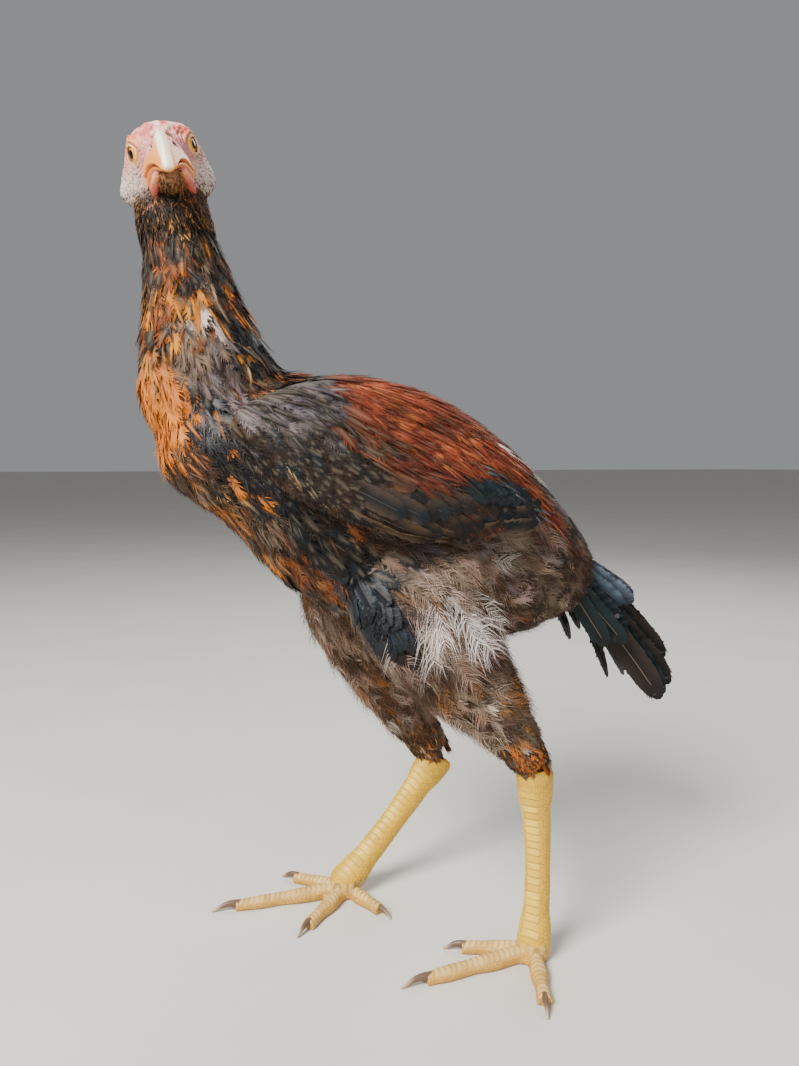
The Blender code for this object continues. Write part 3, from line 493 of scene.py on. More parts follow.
def fluffy_shape(barbs, reach_share, wide, seed):
    """A loose, downy feather: thin separate barbs that curve up and out from a fine shaft."""
    local = np.random.default_rng(seed)
    spots, faces = [], []

    def spot(*where):
        spots.append(where)
        return len(spots) - 1

    a, b = spot(0.0, -0.04, 0.0), spot(0.0, 0.04, 0.0)
    faces.append((a, b, spot(0.98, 0.0, 0.1)))
    for side in (-1, 1):
        for k in range(barbs):
            t = 0.02 + 0.82 * (k + local.uniform(-0.5, 0.5)) / barbs
            reach = 0.30 + 0.70 * math.sin(math.pi * min(1.0, max(0.0, t) * 0.75 + 0.25))
            reach *= local.uniform(0.45, 1.15)
            lift = local.uniform(-0.12, 0.18)
            far = min(t + reach_share * local.uniform(0.6, 1.4), local.uniform(0.98, 1.10))
            bend = local.uniform(0.25, 0.45)
            root = spot(t, 0.0, 0.05), spot(t + wide * 1.5, 0.0, 0.05)
            middle = (
                spot(t + (far - t) * bend, side * reach * 0.62, lift * 0.6),
                spot(t + (far - t) * bend + wide, side * reach * 0.60, lift * 0.6),
            )
            faces += [(root[0], root[1], middle[1]), (root[0], middle[1], middle[0])]
            faces.append((middle[0], middle[1], spot(far, side * reach, lift)))
    return turned_out(spots, faces)


def rounded(t):
    return min(1.0, 0.35 + 2.2 * t) * math.sqrt(1 - (max(0.0, t - 0.45) / 0.56) ** 2)


def lance(t):
    return min(1.0, 0.4 + 2.5 * t) * (1 - t) ** 0.55


def oar(t):
    return min(1.0, 0.45 + 1.6 * t) * math.sqrt(1 - (max(0.0, t - 0.72) / 0.29) ** 2)


BODY = [feather_shape(8, 0.74, 0.22, 0.11, rounded, k, split=2) for k in range(6)]
NARROW = [feather_shape(6, 0.45, 0.40, 0.16, lance, 20 + k) for k in range(6)]
SILKY = [
    feather_shape(14, 0.66, 0.30, 0.17, rounded, 100 + k, split=2, fray=0.65) for k in range(6)
]
HACKLE = [feather_shape(10, 0.50, 0.45, 0.22, lance, 110 + k, fray=0.7) for k in range(6)]
LOOSE = [fluffy_shape(14, 0.45, 0.012, 40 + k) for k in range(6)]
DOWNY = [fluffy_shape(27, 0.45, 0.0065, 50 + k) for k in range(6)]
HAIRY = [feather_shape(3, 0.30, 0.40, 0.25, lance, 80 + k) for k in range(4)]
SMOOTH = [
    feather_shape(13, 0.86, 0.14, 0.07, rounded, 70 + k, split=2, quill=0.05) for k in range(5)
]
VANED = [
    feather_shape(26, 0.90, 0.12, 0.035, oar, 90 + k, split=3, quill=0.07) for k in range(4)
]


def lay(tree, roots, facing, lie, length, depth, rise, stations=6, droop=0.0):
    """Runs feathers over a surface: their middle lines, sideways and outward directions.

    Each starts a depth under the surface, follows it while there is one under it and runs straight
    on past its edge, and ends a rise over it.
    """
    count = len(roots)
    spot, out = roots.copy(), facing.copy()
    along = unit(lie - out * dot(lie, out))
    step = (length / (stations - 1))[:, None]
    lines, outs, ways = [spot], [out], [along]
    for _ in range(stations - 1):
        ahead = spot + along * step
        hit, normal, far = nearest(tree, ahead)
        held = (dot(normal, out) > 0.55) & (far[:, None] < 0.4 * step + 1.2)
        spot = np.where(held, hit, ahead)
        out = unit(np.where(held, out + normal, out))
        along = unit(along - out * dot(along, out) + [0, 0, -droop])
        lines.append(spot)
        outs.append(out)
        ways.append(along)
    lines, outs, ways = (np.stack(part, 1) for part in (lines, outs, ways))
    t = np.linspace(0, 1, stations)[None, :, None]
    depth, rise = (np.broadcast_to(v, count)[:, None, None] for v in (depth, rise))
    lines = lines + outs * (-depth * (1 - t) ** 1.6 + rise * t**1.1)
    return lines, unit(np.cross(ways, outs)), outs


class Coat:
    """Feathers that are joined to one mesh.

    They are rooted on a tube's surface, of which tree is the search tree, and lie along the tube
    (sign 1) or against its direction (-1).
    """

    PATCH = 0.003

    def __init__(self, name, tube, tree, sign):
        self.name, self.tube, self.tree, self.sign = name, tube, tree, sign
        self.count = 0
        self.parts = {key: [] for key in ("points", "faces", "tints", "vane", "bake")}

    def add(self, laid, shape, length, width, tints, bake, roll, camber):
        """Adds feathers of one shape. tints are (root, tip, edge, shaft) colours for each."""
        (lines, sides, outs), (spots, faces) = laid, shape
        stations = lines.shape[1]
        t, s, lift = spots.T
        at = np.clip(t, 0, None) * (stations - 1)
        first = np.minimum(at.astype(int), stations - 2)
        share = (at - first)[None, :, None]

        def along(part):
            return part[:, first] * (1 - share) + part[:, first + 1] * share

        side, out = unit(along(sides)), unit(along(outs))
        cos, sin = np.cos(roll)[:, None, None], np.sin(roll)[:, None, None]
        side, out = side * cos + out * sin, out * cos - side * sin
        half = (width / 2)[:, None]
        across = (half * s)[..., None]
        high = (half * (lift - camber * s**2))[..., None]
        points = along(lines) + side * across + out * high
        root, tip, edge, shaft = (c[:, None, :] for c in tints)
        m = smooth(t, 0.25, 0.9)[None, :, None]
        e = smooth(np.abs(s), 0.45, 1.0)[None, :, None]
        r = ((np.abs(s) < 0.005) & (t < 0.9))[None, :, None] * 0.9
        colour = root * (1 - m) + tip * m
        colour = colour * (1 - e) + edge * e
        colour = colour * (1 - r) + shaft * r
        shift = rng.uniform(0, 90, len(lines))[:, None]
        vane = np.stack([half * s, t * length[:, None] + shift], -1)
        patch = bake[:, None] + self.PATCH * np.stack([s * 0.5, t - 0.5], -1)[None]
        n, k = points.shape[:2]
        corners = faces[None] + (np.arange(n) * k)[:, None, None] + self.count
        for key, part in (
            ("points", points), ("tints", colour), ("vane", vane), ("bake", patch)
        ):
            self.parts[key].append(np.broadcast_to(part, (n, k, part.shape[-1])).reshape(n * k, -1))
        self.parts["faces"].append(corners.reshape(-1, 3))
        self.count += n * k

    def add_all(self, laid, shapes, which, length, width, tints, bake, roll, camber):
        """Adds feathers of several shapes. which is the number of each feather's shape."""
        length, width, roll = (np.broadcast_to(v, len(which)) for v in (length, width, roll))
        for n, shape in enumerate(shapes):
            mine = which == n
            if mine.any():
                self.add(
                    [part[mine] for part in laid], shape, length[mine], width[mine],
                    [c[mine] for c in tints], bake[mine], roll[mine], camber,
                )

    def finish(self, material, slot):
        parts = {key: np.concatenate(value) for key, value in self.parts.items()}
        piece = mesh_piece(self.name, parts["points"], parts["faces"])
        colour_points(piece, parts["tints"])
        corners = np.empty(len(piece.data.loops), np.int32)
        piece.data.loops.foreach_get("vertex_index", corners)
        for name, key, size in (("OFBake", "bake", 1.0), ("Vane", "vane", 0.001)):
            layer = piece.data.uv_layers.new(name=name)
            flat = np.clip(parts[key][corners] * size, *((0, 1) if key == "bake" else (-9, 9)))
            layer.data.foreach_set("uv", flat.astype(np.float32).ravel())
        piece.data.materials.append(material)
        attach(piece, "root")
        return piece


# Colours and markings.


def linear(code):
    """The linear value of an sRGB hex colour."""
    parts = [int(code[k : k + 2], 16) / 255 for k in (1, 3, 5)]
    return [v / 12.92 if v <= 0.04045 else ((v + 0.055) / 1.055) ** 2.4 for v in parts]


# Each kind of feather: colour at its root, tip and edge, and how glossy it is.
KINDS = {
    "soot": ("#181412", "#120f0e", "#221b17", 0.35),
    # In blue_black, slate_blue and green_black the blue and green tones, and their paler edges, are a
    # painted sheen over black feathers.
    "blue_black": ("#111316", "#0e1217", "#1d252e", 0.85),
    "slate_blue": ("#171a1f", "#2b343d", "#56646f", 0.85),
    "green_black": ("#0a100f", "#091314", "#0e2023", 1.00),
    "dark_brown": ("#291c14", "#20150f", "#3d2a1d", 0.25),
    "umber": ("#3e2b1e", "#332218", "#5d3f28", 0.15),
    "orange": ("#5c3114", "#ab601e", "#c87b2a", 0.15),
    "amber": ("#2e1a0b", "#ab6614", "#8a4e12", 0.20),
    "tan": ("#5d3c24", "#9c622e", "#b98044", 0.10),
    "rust": ("#33150f", "#6c2e1a", "#864323", 0.30),
    "deep_rust": ("#291612", "#522116", "#682e1c", 0.30),
    "bright_rust": ("#4a2013", "#8f4a27", "#aa6632", 0.25),
    "slate": ("#252223", "#413c3e", "#696163", 0.30),
    "mauve_grey": ("#352c2a", "#5a4e4f", "#7d6f70", 0.20),
    "grey_brown": ("#382c24", "#59493c", "#7b6855", 0.10),
    "pinkish": ("#5b483e", "#8d7466", "#a99081", 0.05),
    "pale_grey": ("#76675c", "#a8988b", "#c5b6a7", 0.05),
    "white": ("#9d9590", "#d6cec7", "#e6dfd9", 0.00),
    "straw": ("#6a5138", "#94754f", "#b39568", 0.05),
    "laced_tan": ("#22150d", "#3e2818", "#a9723a", 0.15),
    "laced_orange": ("#22140b", "#6c3410", "#c06d20", 0.15),
    "laced_rust": ("#1f130e", "#47200f", "#93451f", 0.20),
    "laced_grey": ("#191513", "#231e1c", "#4a403d", 0.30),
}
KIND_NAMES = list(KINDS)
KIND_COLOURS = np.array(
    [[[*linear(code), gloss] for code in (a, b, c)] for a, b, c, gloss in KINDS.values()]
)

# What each part of the coat is made up of: kinds, each with its share, in the order in which they
# lie next to each other.
PLUMAGE = {
    "throat": "umber 3 tan 4 umber 2 dark_brown 1",
    "cheek": "pale_grey 4 white 4 mauve_grey 3 umber 1 pinkish 2",
    "jowl": "mauve_grey 3 umber 3 pale_grey 3 dark_brown 3 grey_brown 3 soot 2",
    "chin": "umber 4 tan 3 umber 3 dark_brown 2 tan 1",
    "ear": "grey_brown 3 umber 3 mauve_grey 2",
    "collar": "soot 5 dark_brown 6 umber 3 soot 2",
    "neck": (
        "soot 3 dark_brown 3 laced_orange 2 amber 1 laced_orange 1 dark_brown 2 umber 2 "
        "grey_brown 3 soot 2 blue_black 2"
    ),
    "crop": "laced_orange 3 orange 4 tan 4 amber 2 laced_tan 2 dark_brown 1",
    "breast": (
        "soot 3 dark_brown 4 laced_tan 3 umber 3 tan 1 grey_brown 3 laced_orange 2 "
        "dark_brown 2 amber 1"
    ),
    "belly": (
        "laced_tan 4 umber 3 tan 1 dark_brown 4 soot 1 laced_orange 2 grey_brown 2 "
        "laced_tan 3"
    ),
    "flank": "umber 3 grey_brown 4 mauve_grey 2 dark_brown 3 pinkish 3 umber 2",
    "back": "dark_brown 2 deep_rust 3 rust 5 bright_rust 2",
    "mantle": "soot 4 slate 3 mauve_grey 3 deep_rust 1 blue_black 3",
    "rump": "umber 3 dark_brown 3 grey_brown 2 slate 2 mauve_grey 1 dark_brown 2",
    "vent": "umber 4 dark_brown 2 grey_brown 4 pinkish 2 laced_tan 2",
    "thigh": (
        "umber 4 grey_brown 4 pinkish 2 umber 2 laced_tan 2 pale_grey 1 dark_brown 3 "
        "laced_tan 1 pinkish 1"
    ),
    "streak": "blue_black 3 soot 2",
    "plume": "white 3 pale_grey 1",
    "drumstick": (
        "dark_brown 4 umber 4 laced_tan 3 laced_orange 3 straw 1 grey_brown 3 dark_brown 2"
    ),
    "wing_shoulder": "laced_grey 5 slate 3 mauve_grey 2 laced_grey 3 soot 1",
    "wing_front": "soot 5 dark_brown 4 laced_grey 1 soot 2 dark_brown 2 blue_black 2 soot 2",
    "wing_middle": "dark_brown 4 laced_rust 3 umber 2 deep_rust 4 laced_rust 2 dark_brown 2",
    "wing_bow": "deep_rust 4 laced_rust 3 rust 5 bright_rust 3 rust 2 dark_brown 1 rust 2",
    "wing_lower": "dark_brown 4 soot 6 umber 2",
    "tail": "soot 2 green_black 5 blue_black 3",
    "tail_covert": "blue_black 3 slate 2 soot 2 slate_blue 3",
}

# Marks of the moult: centre (left, forward, up), radius, kind, and how many feathers take it.
MARKS = [
    (14, 156, 430, 16, "soot", 0.6), (4, 166, 422, 13, "dark_brown", 0.6),
    (14, 160, 400, 12, "amber", 0.40), (10, 160, 415, 9, "laced_orange", 0.45),
    (18, 152, 392, 9, "amber", 0.4), (6, 160, 388, 10, "laced_orange", 0.5),
    (20, 140, 398, 7, "pinkish", 0.45), (20, 146, 386, 6, "pale_grey", 0.6),
    (22, 140, 374, 8, "mauve_grey", 0.6), (16, 126, 384, 12, "blue_black", 0.8),
    (22, 124, 372, 14, "blue_black", 0.75), (20, 116, 356, 12, "blue_black", 0.6),
    (14, 128, 392, 7, "amber", 0.45), (22, 116, 362, 6, "straw", 0.45),
    (25, 150, 366, 16, "grey_brown", 0.8), (24, 142, 352, 14, "mauve_grey", 0.7),
    (12, 165, 358, 12, "tan", 0.8), (12, 165, 342, 17, "orange", 0.95),
    (12, 164, 326, 15, "orange", 0.9), (4, 166, 345, 16, "orange", 0.85),
    (4, 164, 325, 14, "orange", 0.8), (22, 152, 312, 12, "umber", 0.8),
    (26, 148, 345, 8, "soot", 0.85), (27, 147, 334, 12, "blue_black", 0.9),
    (30, 143, 320, 14, "blue_black", 0.95), (29, 141, 340, 8, "mauve_grey", 0.6),
    (33, 137, 330, 7, "orange", 0.4), (36, 132, 322, 8, "amber", 0.5),
    (34, 136, 306, 14, "blue_black", 0.8), (36, 130, 318, 8, "slate", 0.8),
    (20, 154, 299, 10, "grey_brown", 0.6), (30, 140, 298, 9, "orange", 0.6),
    (24, 148, 290, 10, "straw", 0.5), (10, 148, 284, 16, "tan", 0.6),
    (42, 112, 290, 14, "soot", 0.85), (44, 100, 276, 14, "blue_black", 0.8),
    (47, 84, 262, 12, "soot", 0.75), (46, 66, 248, 12, "soot", 0.6),
    (34, 104, 256, 12, "laced_orange", 0.6), (32, 90, 238, 12, "laced_orange", 0.6),
    (28, 138, 306, 14, "soot", 0.85), (34, 126, 296, 14, "blue_black", 0.75),
    (38, 116, 284, 14, "soot", 0.7), (26, 128, 280, 12, "grey_brown", 0.7),
    (34, 78, 250, 11, "soot", 0.9), (40, 72, 242, 13, "blue_black", 0.97),
    (46, 65, 231, 13, "blue_black", 0.97), (53, 58, 220, 12, "blue_black", 0.97),
    (59, 52, 210, 10, "soot", 0.95), (36, 90, 262, 12, "soot", 0.8),
    (61, 44, 222, 10, "pale_grey", 0.65), (63, 32, 214, 9, "pinkish", 0.7),
    (58, 22, 230, 10, "white", 0.55), (62, 14, 222, 8, "pale_grey", 0.6),
    (62, 4, 214, 10, "grey_brown", 0.7), (64, 30, 196, 10, "tan", 0.5),
    (67, 22, 186, 9, "umber", 0.7), (66, 6, 184, 9, "tan", 0.5),
    (64, -8, 168, 10, "grey_brown", 0.7), (62, -14, 148, 9, "tan", 0.6),
    (63, -24, 140, 9, "orange", 0.5), (61, -30, 130, 7, "orange", 0.6),
    (20, -22, 320, 9, "white", 0.55), (16, -42, 306, 10, "white", 0.75),
    (24, -60, 282, 9, "mauve_grey", 0.7), (8, -66, 284, 10, "bright_rust", 0.85),
    (30, -70, 262, 8, "rust", 0.5), (16, -84, 268, 12, "slate", 0.8),
    (-61, -22, 104, 9, "orange", 0.8), (-46, 44, 165, 12, "amber", 0.4),
    (50, 124, 312, 4, "grey_brown", 0.5), (56, 116, 300, 4, "umber", 0.5),
    (60, 106, 291, 4, "umber", 0.5), (61, 96, 283, 4, "umber", 0.5),
]


def choose(part, roots, clump=16.0, seed=0.0):
    """The kind of each feather: the part's own kinds in clumps, with the marks over them."""
    words = PLUMAGE[part].split()
    names, shares = words[::2], [int(word) for word in words[1::2]]
    limits = np.cumsum(shares) / sum(shares)
    level = 0.5 + 0.75 * grain(roots, clump, 7.3 + seed, 2) + rng.normal(0, 0.05, len(roots))
    level = np.clip(level % 1.0, 0, 0.999)
    index = np.array([KIND_NAMES.index(name) for name in names])[
        np.searchsorted(limits, level, side="right").clip(max=len(names) - 1)
    ]
    for left, forward, up, radius, kind, chance in MARKS:
        for mirrored in (1, -1):
            centre = place(left * mirrored, forward, up)
            away = np.linalg.norm(roots - centre, axis=1) / radius
            taken = away < rng.uniform(0.65, 1.25, len(roots))
            taken &= rng.random(len(roots)) < chance
            if mirrored == -1:
                # The far side is marked alike, but not so strongly.
                taken &= rng.random(len(roots)) < 0.6
            index[taken] = KIND_NAMES.index(kind)
    return index


def tints_of(index, variety=0.16, shaft=0.12):
    """Root, tip, edge and shaft colours for feathers of these kinds, each a little different."""
    colours = KIND_COLOURS[index].copy()
    light = np.exp(rng.normal(0, variety, len(index)))[:, None, None]
    warm = np.exp(rng.normal(0, 0.05, (len(index), 1, 3)))
    colours[..., :3] = np.clip(colours[..., :3] * light * warm, 0.004, 0.9)
    root, tip, edge = colours[:, 0], colours[:, 1], colours[:, 2]
    pale = np.array([*linear("#b8a68c"), 0.3])
    return root, tip, edge, tip * (1 - shaft) + pale * shaft


# The body's outer form, which the feathers lie on, and the skin under it.
body_form = merged(
    "body_form",
    [
        form_piece("trunk_form", trunk, 60, 64), form_piece("neck_form", neck, 44, 48),
        form_piece("tail_form", tail_root, 16, 24),
        *(form_piece(f"thigh_form_{s}", thigh[s], 50, 40) for s in (1, -1)),
    ],
    2.2, 4,
)
body_tree = tree_of(body_form)
bpy.data.objects.remove(body_form)


def form_tree(tube, rings, sides):
    """A search tree of a form's surface."""
    shell = form_piece("shell", tube, rings, sides)
    tree = tree_of(shell)
    bpy.data.objects.remove(shell)
    return tree


wing_tree = {side: form_tree(wing[side], 60, 48) for side in (1, -1)}
thigh_trees = [form_tree(thigh[side], 40, 32) for side in (1, -1)]


def near(balls, share=1.0):
    """Keeps roots inside balls, each given by left, forward, up and radius."""

    def keep(b, _):
        inside = [np.linalg.norm(b - ball[:3], axis=1) < share * ball[3] for ball in balls]
        return np.any(inside, axis=0)

    return keep


# A black streak that runs from the belly down over the left thigh, and pale plumes behind it.
STREAK = (
    (33, 82, 256, 9), (38, 75, 247, 9), (43, 69, 238, 9), (48, 63, 229, 9), (53, 58, 220, 8),
)
PLUMES = ((57, 34, 238, 7), (60, 22, 230, 8), (61, 12, 222, 7), (63, 34, 212, 6))

# The coat, tract by tract.

BACKWARD, DOWN = np.array([0.0, 1.0, 0.0]), np.array([0.0, 0.0, -1.0])


# The least and most of a feather's size, as shares of its tract's, and how far its edges bend down.
SMALLEST, LARGEST = 0.82, 1.15
CAMBER = 0.13


def tract(
    coat, part, spacing, sizes, shapes, pull=(0, 0, 0), start=0.0, stop=1.0, allow=3.0, under=(),
    keep=None, clump=16.0, seed=0.0, variety=0.16, ruffle=0.0, spread=0.0, roll=0.12, droop=0.0,
    stations=6,
):
    """One tract of feathers. sizes are length, width, depth of the root and rise of the tip.

    The roots lie in rows a spacing apart, from start to stop along the form, where keep is true and
    no other form covers them. pull turns the feathers from the form's own axis.
    """
    share, turn = coat.tube.lattice(spacing, start, stop)
    where, facing, far = nearest(coat.tree, coat.tube.points(share, turn))
    kept = far < allow
    for other in under:
        kept &= ~buried(other, where)
    if keep is not None:
        kept &= keep(bird(where), facing)
    if not kept.any():
        return
    axis = coat.tube.row(coat.tube.along, share)
    bake = np.stack([0.01 + 0.98 * (turn / (2 * math.pi) % 1.0), 0.01 + 0.98 * share], 1)
    where, facing, axis, bake = where[kept], facing[kept], axis[kept], bake[kept]
    count = len(where)
    kinds = choose(part, where, clump, seed)
    lie = unit(axis * coat.sign + np.asarray(pull, float))
    length, width, depth, rise = sizes
    # Some tufts stand out more than others, which leaves the coat ruffled.
    rise = np.maximum(0.2, rise + ruffle * grain(where, 13.0, 40.0 + seed, 2))
    tints = tints_of(kinds, variety)
    length, width, rise = (
        np.broadcast_to(v, count) * rng.uniform(SMALLEST, LARGEST, count)
        for v in (length, width, rise)
    )
    turned = (rng.normal(0, 1, count) * spread)[:, None]
    lie = lie * np.cos(turned) + np.cross(facing, lie) * np.sin(turned)
    laid = lay(coat.tree, where, facing, lie, length, depth, rise, stations, droop)
    rolls = rng.normal(0, 1, count) * roll
    which = rng.integers(0, len(shapes), count)
    coat.add_all(laid, shapes, which, length, width, tints, bake, rolls, CAMBER)


def make_neck_coat():
    coat = Coat("neck_feathers", neck, body_tree, -1)
    pull = 0.12 * BACKWARD

    def front(b, _):
        return (b[:, 1] > 155 + 0.10 * (b[:, 2] - 340)) & (b[:, 2] < 366) & (b[:, 2] > 312)

    def height(b):
        f, _, u = head_view(b)
        return u + 31 - 0.8 * np.maximum(-8 - f, 0) + rng.uniform(-2.5, 2.5, len(u))

    def goatee(b, _):
        f, left, u = head_view(b)
        return (f > 0) & (np.abs(left) < 8.5 - 0.35 * np.abs(u + 26)) & (height(b) < 3)

    def below_jaw(b, f):
        return (height(b) < 0) & ~goatee(b, f)

    def under_jaw(b, _):
        return np.abs(height(b) - 1) < 11

    for keep, part, sizes in (
        (lambda b, f: ~front(b, f), "neck", (22, 10, 4.0, 0.8)),
        (front, "crop", (23, 12, 4.0, 0.7)),
    ):
        tract(
            coat, part, 4.4, sizes, SILKY, pull, start=0.02, stop=0.80, keep=keep, spread=0.22,
            roll=0.12, ruffle=2.6,
        )
        tract(
            coat, part, 5.0, (22, 5.0, 3.0, 1.6), HACKLE, pull, start=0.02, stop=0.80, keep=keep,
            spread=0.30, roll=0.2, ruffle=2.6,
        )
    for part, spacing, sizes, shapes, start, stop, spread, clump, keep in (
        ("collar", 2.1, (9.0, 2.6, 3.5, 0.5), NARROW, 0.74, 0.99, 0.3, 16, below_jaw),
        ("throat", 1.9, (6.5, 1.8, 2.0, 0.7), NARROW, 0.70, 0.99, 0.3, 4, goatee),
        ("chin", 1.4, (5.0, 1.5, 1.0, 0.9), HAIRY, 0.78, 1.0, 0.4, 4, under_jaw),
    ):
        tract(
            coat, part, spacing, sizes, shapes, pull, start=start, stop=stop, allow=4.0, keep=keep,
            clump=clump, spread=spread, roll=0.3,
        )
    tract(coat, "neck", 10.0, (17, 10, 3.0, 2.2), LOOSE, pull, start=0.1, stop=0.75, spread=0.4)
    return coat


def make_breast_coat():
    coat = Coat("breast_feathers", trunk, body_tree, -1)

    def breast(b, f):
        return (b[:, 1] > 76) & (f[:, 2] < 0.65)

    for spacing, sizes, shapes, spread, roll, ruffle in (
        (4.8, (27, 13, 4.5, 0.8), SILKY, 0.20, 0.12, 2.8),
        (5.6, (24, 6.0, 4.0, 1.7), HACKLE, 0.30, 0.22, 2.8),
        (11.0, (22, 12, 3.5, 2.6), LOOSE, 0.40, 0.30, 0.0),
    ):
        tract(
            coat, "breast", spacing, sizes, shapes, 0.45 * DOWN, start=0.42, keep=breast,
            under=wing_tree.values(), spread=spread, roll=roll, ruffle=ruffle,
        )
    return coat


def make_belly_coat():
    coat = Coat("belly_feathers", trunk, body_tree, -1)

    def low(b, f):
        return (b[:, 1] <= 82) & (f[:, 2] < 0.30)

    def belly(b, f):
        return low(b, f) & (b[:, 1] > -25) & ((np.abs(b[:, 0]) < 36) | (f[:, 2] < -0.55))

    def flank(b, f):
        return low(b, f) & ~belly(b, f) & (b[:, 1] > -40)

    def vent(b, f):
        return low(b, f) & ~belly(b, f) & ~flank(b, f)

    for part, keep, sizes, shapes, spacing, roll in (
        ("belly", belly, (27, 13, 4.5, 0.9), SILKY, 5.7, 0.14),
        ("belly", belly, (24, 6.0, 4.0, 1.8), HACKLE, 6.2, 0.25),
        ("flank", flank, (32, 13, 4.5, 1.0), SILKY, 5.5, 0.14),
        ("flank", flank, (38, 14, 4.0, 2.6), DOWNY, 6.5, 0.3),
        ("vent", vent, (28, 12, 4.5, 1.0), SILKY, 5.2, 0.14),
        ("vent", vent, (25, 12, 4.0, 1.6), DOWNY, 5.0, 0.2),
    ):
        tract(
            coat, part, spacing, sizes, shapes, (0.10 if part == "flank" else 0.35) * DOWN,
            stop=0.80, keep=keep, under=[*wing_tree.values(), *thigh_trees], spread=0.25,
            roll=roll, allow=6.0, ruffle=2.8,
        )
    tract(
        coat, "streak", 4.6, (24, 11, 2.0, 3.4), SMOOTH, 0.6 * DOWN, keep=near(STREAK), spread=0.1,
        roll=0.08, allow=6.0,
    )
    return coat


def make_back_coat():
    coat = Coat("back_feathers", trunk, body_tree, -1)

    def top(b, f):
        return (f[:, 2] > 0.1) | (b[:, 1] < -70)

    def mantle(b, f):
        return top(b, f) & (b[:, 1] > 62 + 6 * np.sin(b[:, 0] * 0.4))

    def saddle(b, f):
        return top(b, f) & ~mantle(b, f) & (b[:, 1] > -38)

    def rump(b, f):
        return top(b, f) & (b[:, 1] <= -38)

    for part, keep, spacing, sizes, shapes, pull, options in (
        ("mantle", mantle, 4.4, (24, 10, 4.5, 0.8), SILKY, 0.1, {"start": 0.5, "spread": 0.18}),
        ("mantle", mantle, 5.2, (24, 5.0, 4.0, 1.5), HACKLE, 0.1,
         {"start": 0.5, "spread": 0.2, "seed": 3}),
        ("back", saddle, 4.0, (32, 4.8, 4.0, 1.3), HACKLE, 0.2,
         {"spread": 0.18, "roll": 0.14, "variety": 0.22}),
        ("back", saddle, 5.0, (24, 11, 4.5, 0.6), SILKY, 0.2, {"spread": 0.16}),
        ("rump", rump, 5.1, (26, 10, 4.5, 0.9), SILKY, 0.3, {"spread": 0.25}),
        ("rump", rump, 5.6, (26, 11, 4.0, 1.4), LOOSE, 0.3, {"spread": 0.3}),
    ):
        tract(
            coat, part, spacing, sizes, shapes, pull * DOWN, keep=keep, under=wing_tree.values(),
            **options,
        )
    return coat


def make_thigh_coat(side):
    coat = Coat(f"{SIDE_NAME[side]}_thigh_feathers", thigh[side], body_tree, 1)
    # The drumstick's tight feathers end in a slanted line, higher behind the hock.
    hock = HOCK[side]

    def drum(b, _):
        line = hock[2] + 7 - 0.55 * (b[:, 1] - hock[1])
        return b[:, 2] > line

    common = {"under": wing_tree.values(), "keep": drum, "allow": 5.0}
    streak = near(STREAK, 0.6)
    fluffy = {**common, "keep": lambda b, f: drum(b, f) & ~streak(b, f)}
    tract(
        coat, "thigh", 5.0, (28, 12, 4.0, 1.0), SILKY, 0.35 * BACKWARD, stop=0.58, spread=0.28,
        roll=0.15, ruffle=2.8, **common,
    )
    tract(
        coat, "thigh", 5.8, (34, 16, 3.5, 3.0), DOWNY, 0.45 * BACKWARD, stop=0.54, spread=0.35,
        roll=0.3, ruffle=2.8, **fluffy,
    )
    if side > 0:
        tract(
            coat, "streak", 4.4, (24, 11, 2.0, 3.4), SMOOTH, (0, 0, 0), spread=0.1, roll=0.08,
            under=wing_tree.values(), keep=near(STREAK), allow=5.0,
        )
        tract(
            coat, "plume", 6.5, (42, 24, 2.0, 6.0), DOWNY, 0.4 * BACKWARD, spread=0.3, roll=0.3,
            keep=near(PLUMES), allow=5.0, droop=0.06,
        )
    tract(
        coat, "drumstick", 3.0, (13, 6.0, 3.2, 0.5), BODY, 0.12 * BACKWARD, start=0.46, stop=0.97,
        spread=0.25, roll=0.2, clump=11, **common,
    )
    tract(
        coat, "drumstick", 3.4, (13, 3.4, 2.5, 1.4), NARROW, 0.12 * BACKWARD, start=0.46,
        stop=0.97, spread=0.40, roll=0.35, clump=11, **common,
    )
    return coat


def row_of(tree, side, count, start, stop, aims):
    """Roots in a row along the wing, and the way each feather lies, aimed so far below level."""
    share = np.linspace(0, 1, count)
    spots = np.array([
        place(side * 66, start[0] + (stop[0] - start[0]) * s, start[1] + (stop[1] - start[1]) * s)
        for s in share
    ])
    where, facing, _ = nearest(tree, spots)
    aim = np.radians(aims[0] + (aims[1] - aims[0]) * share)
    lie = np.stack([0 * aim, np.cos(aim), -np.sin(aim)], 1)
    return where, facing, lie, share


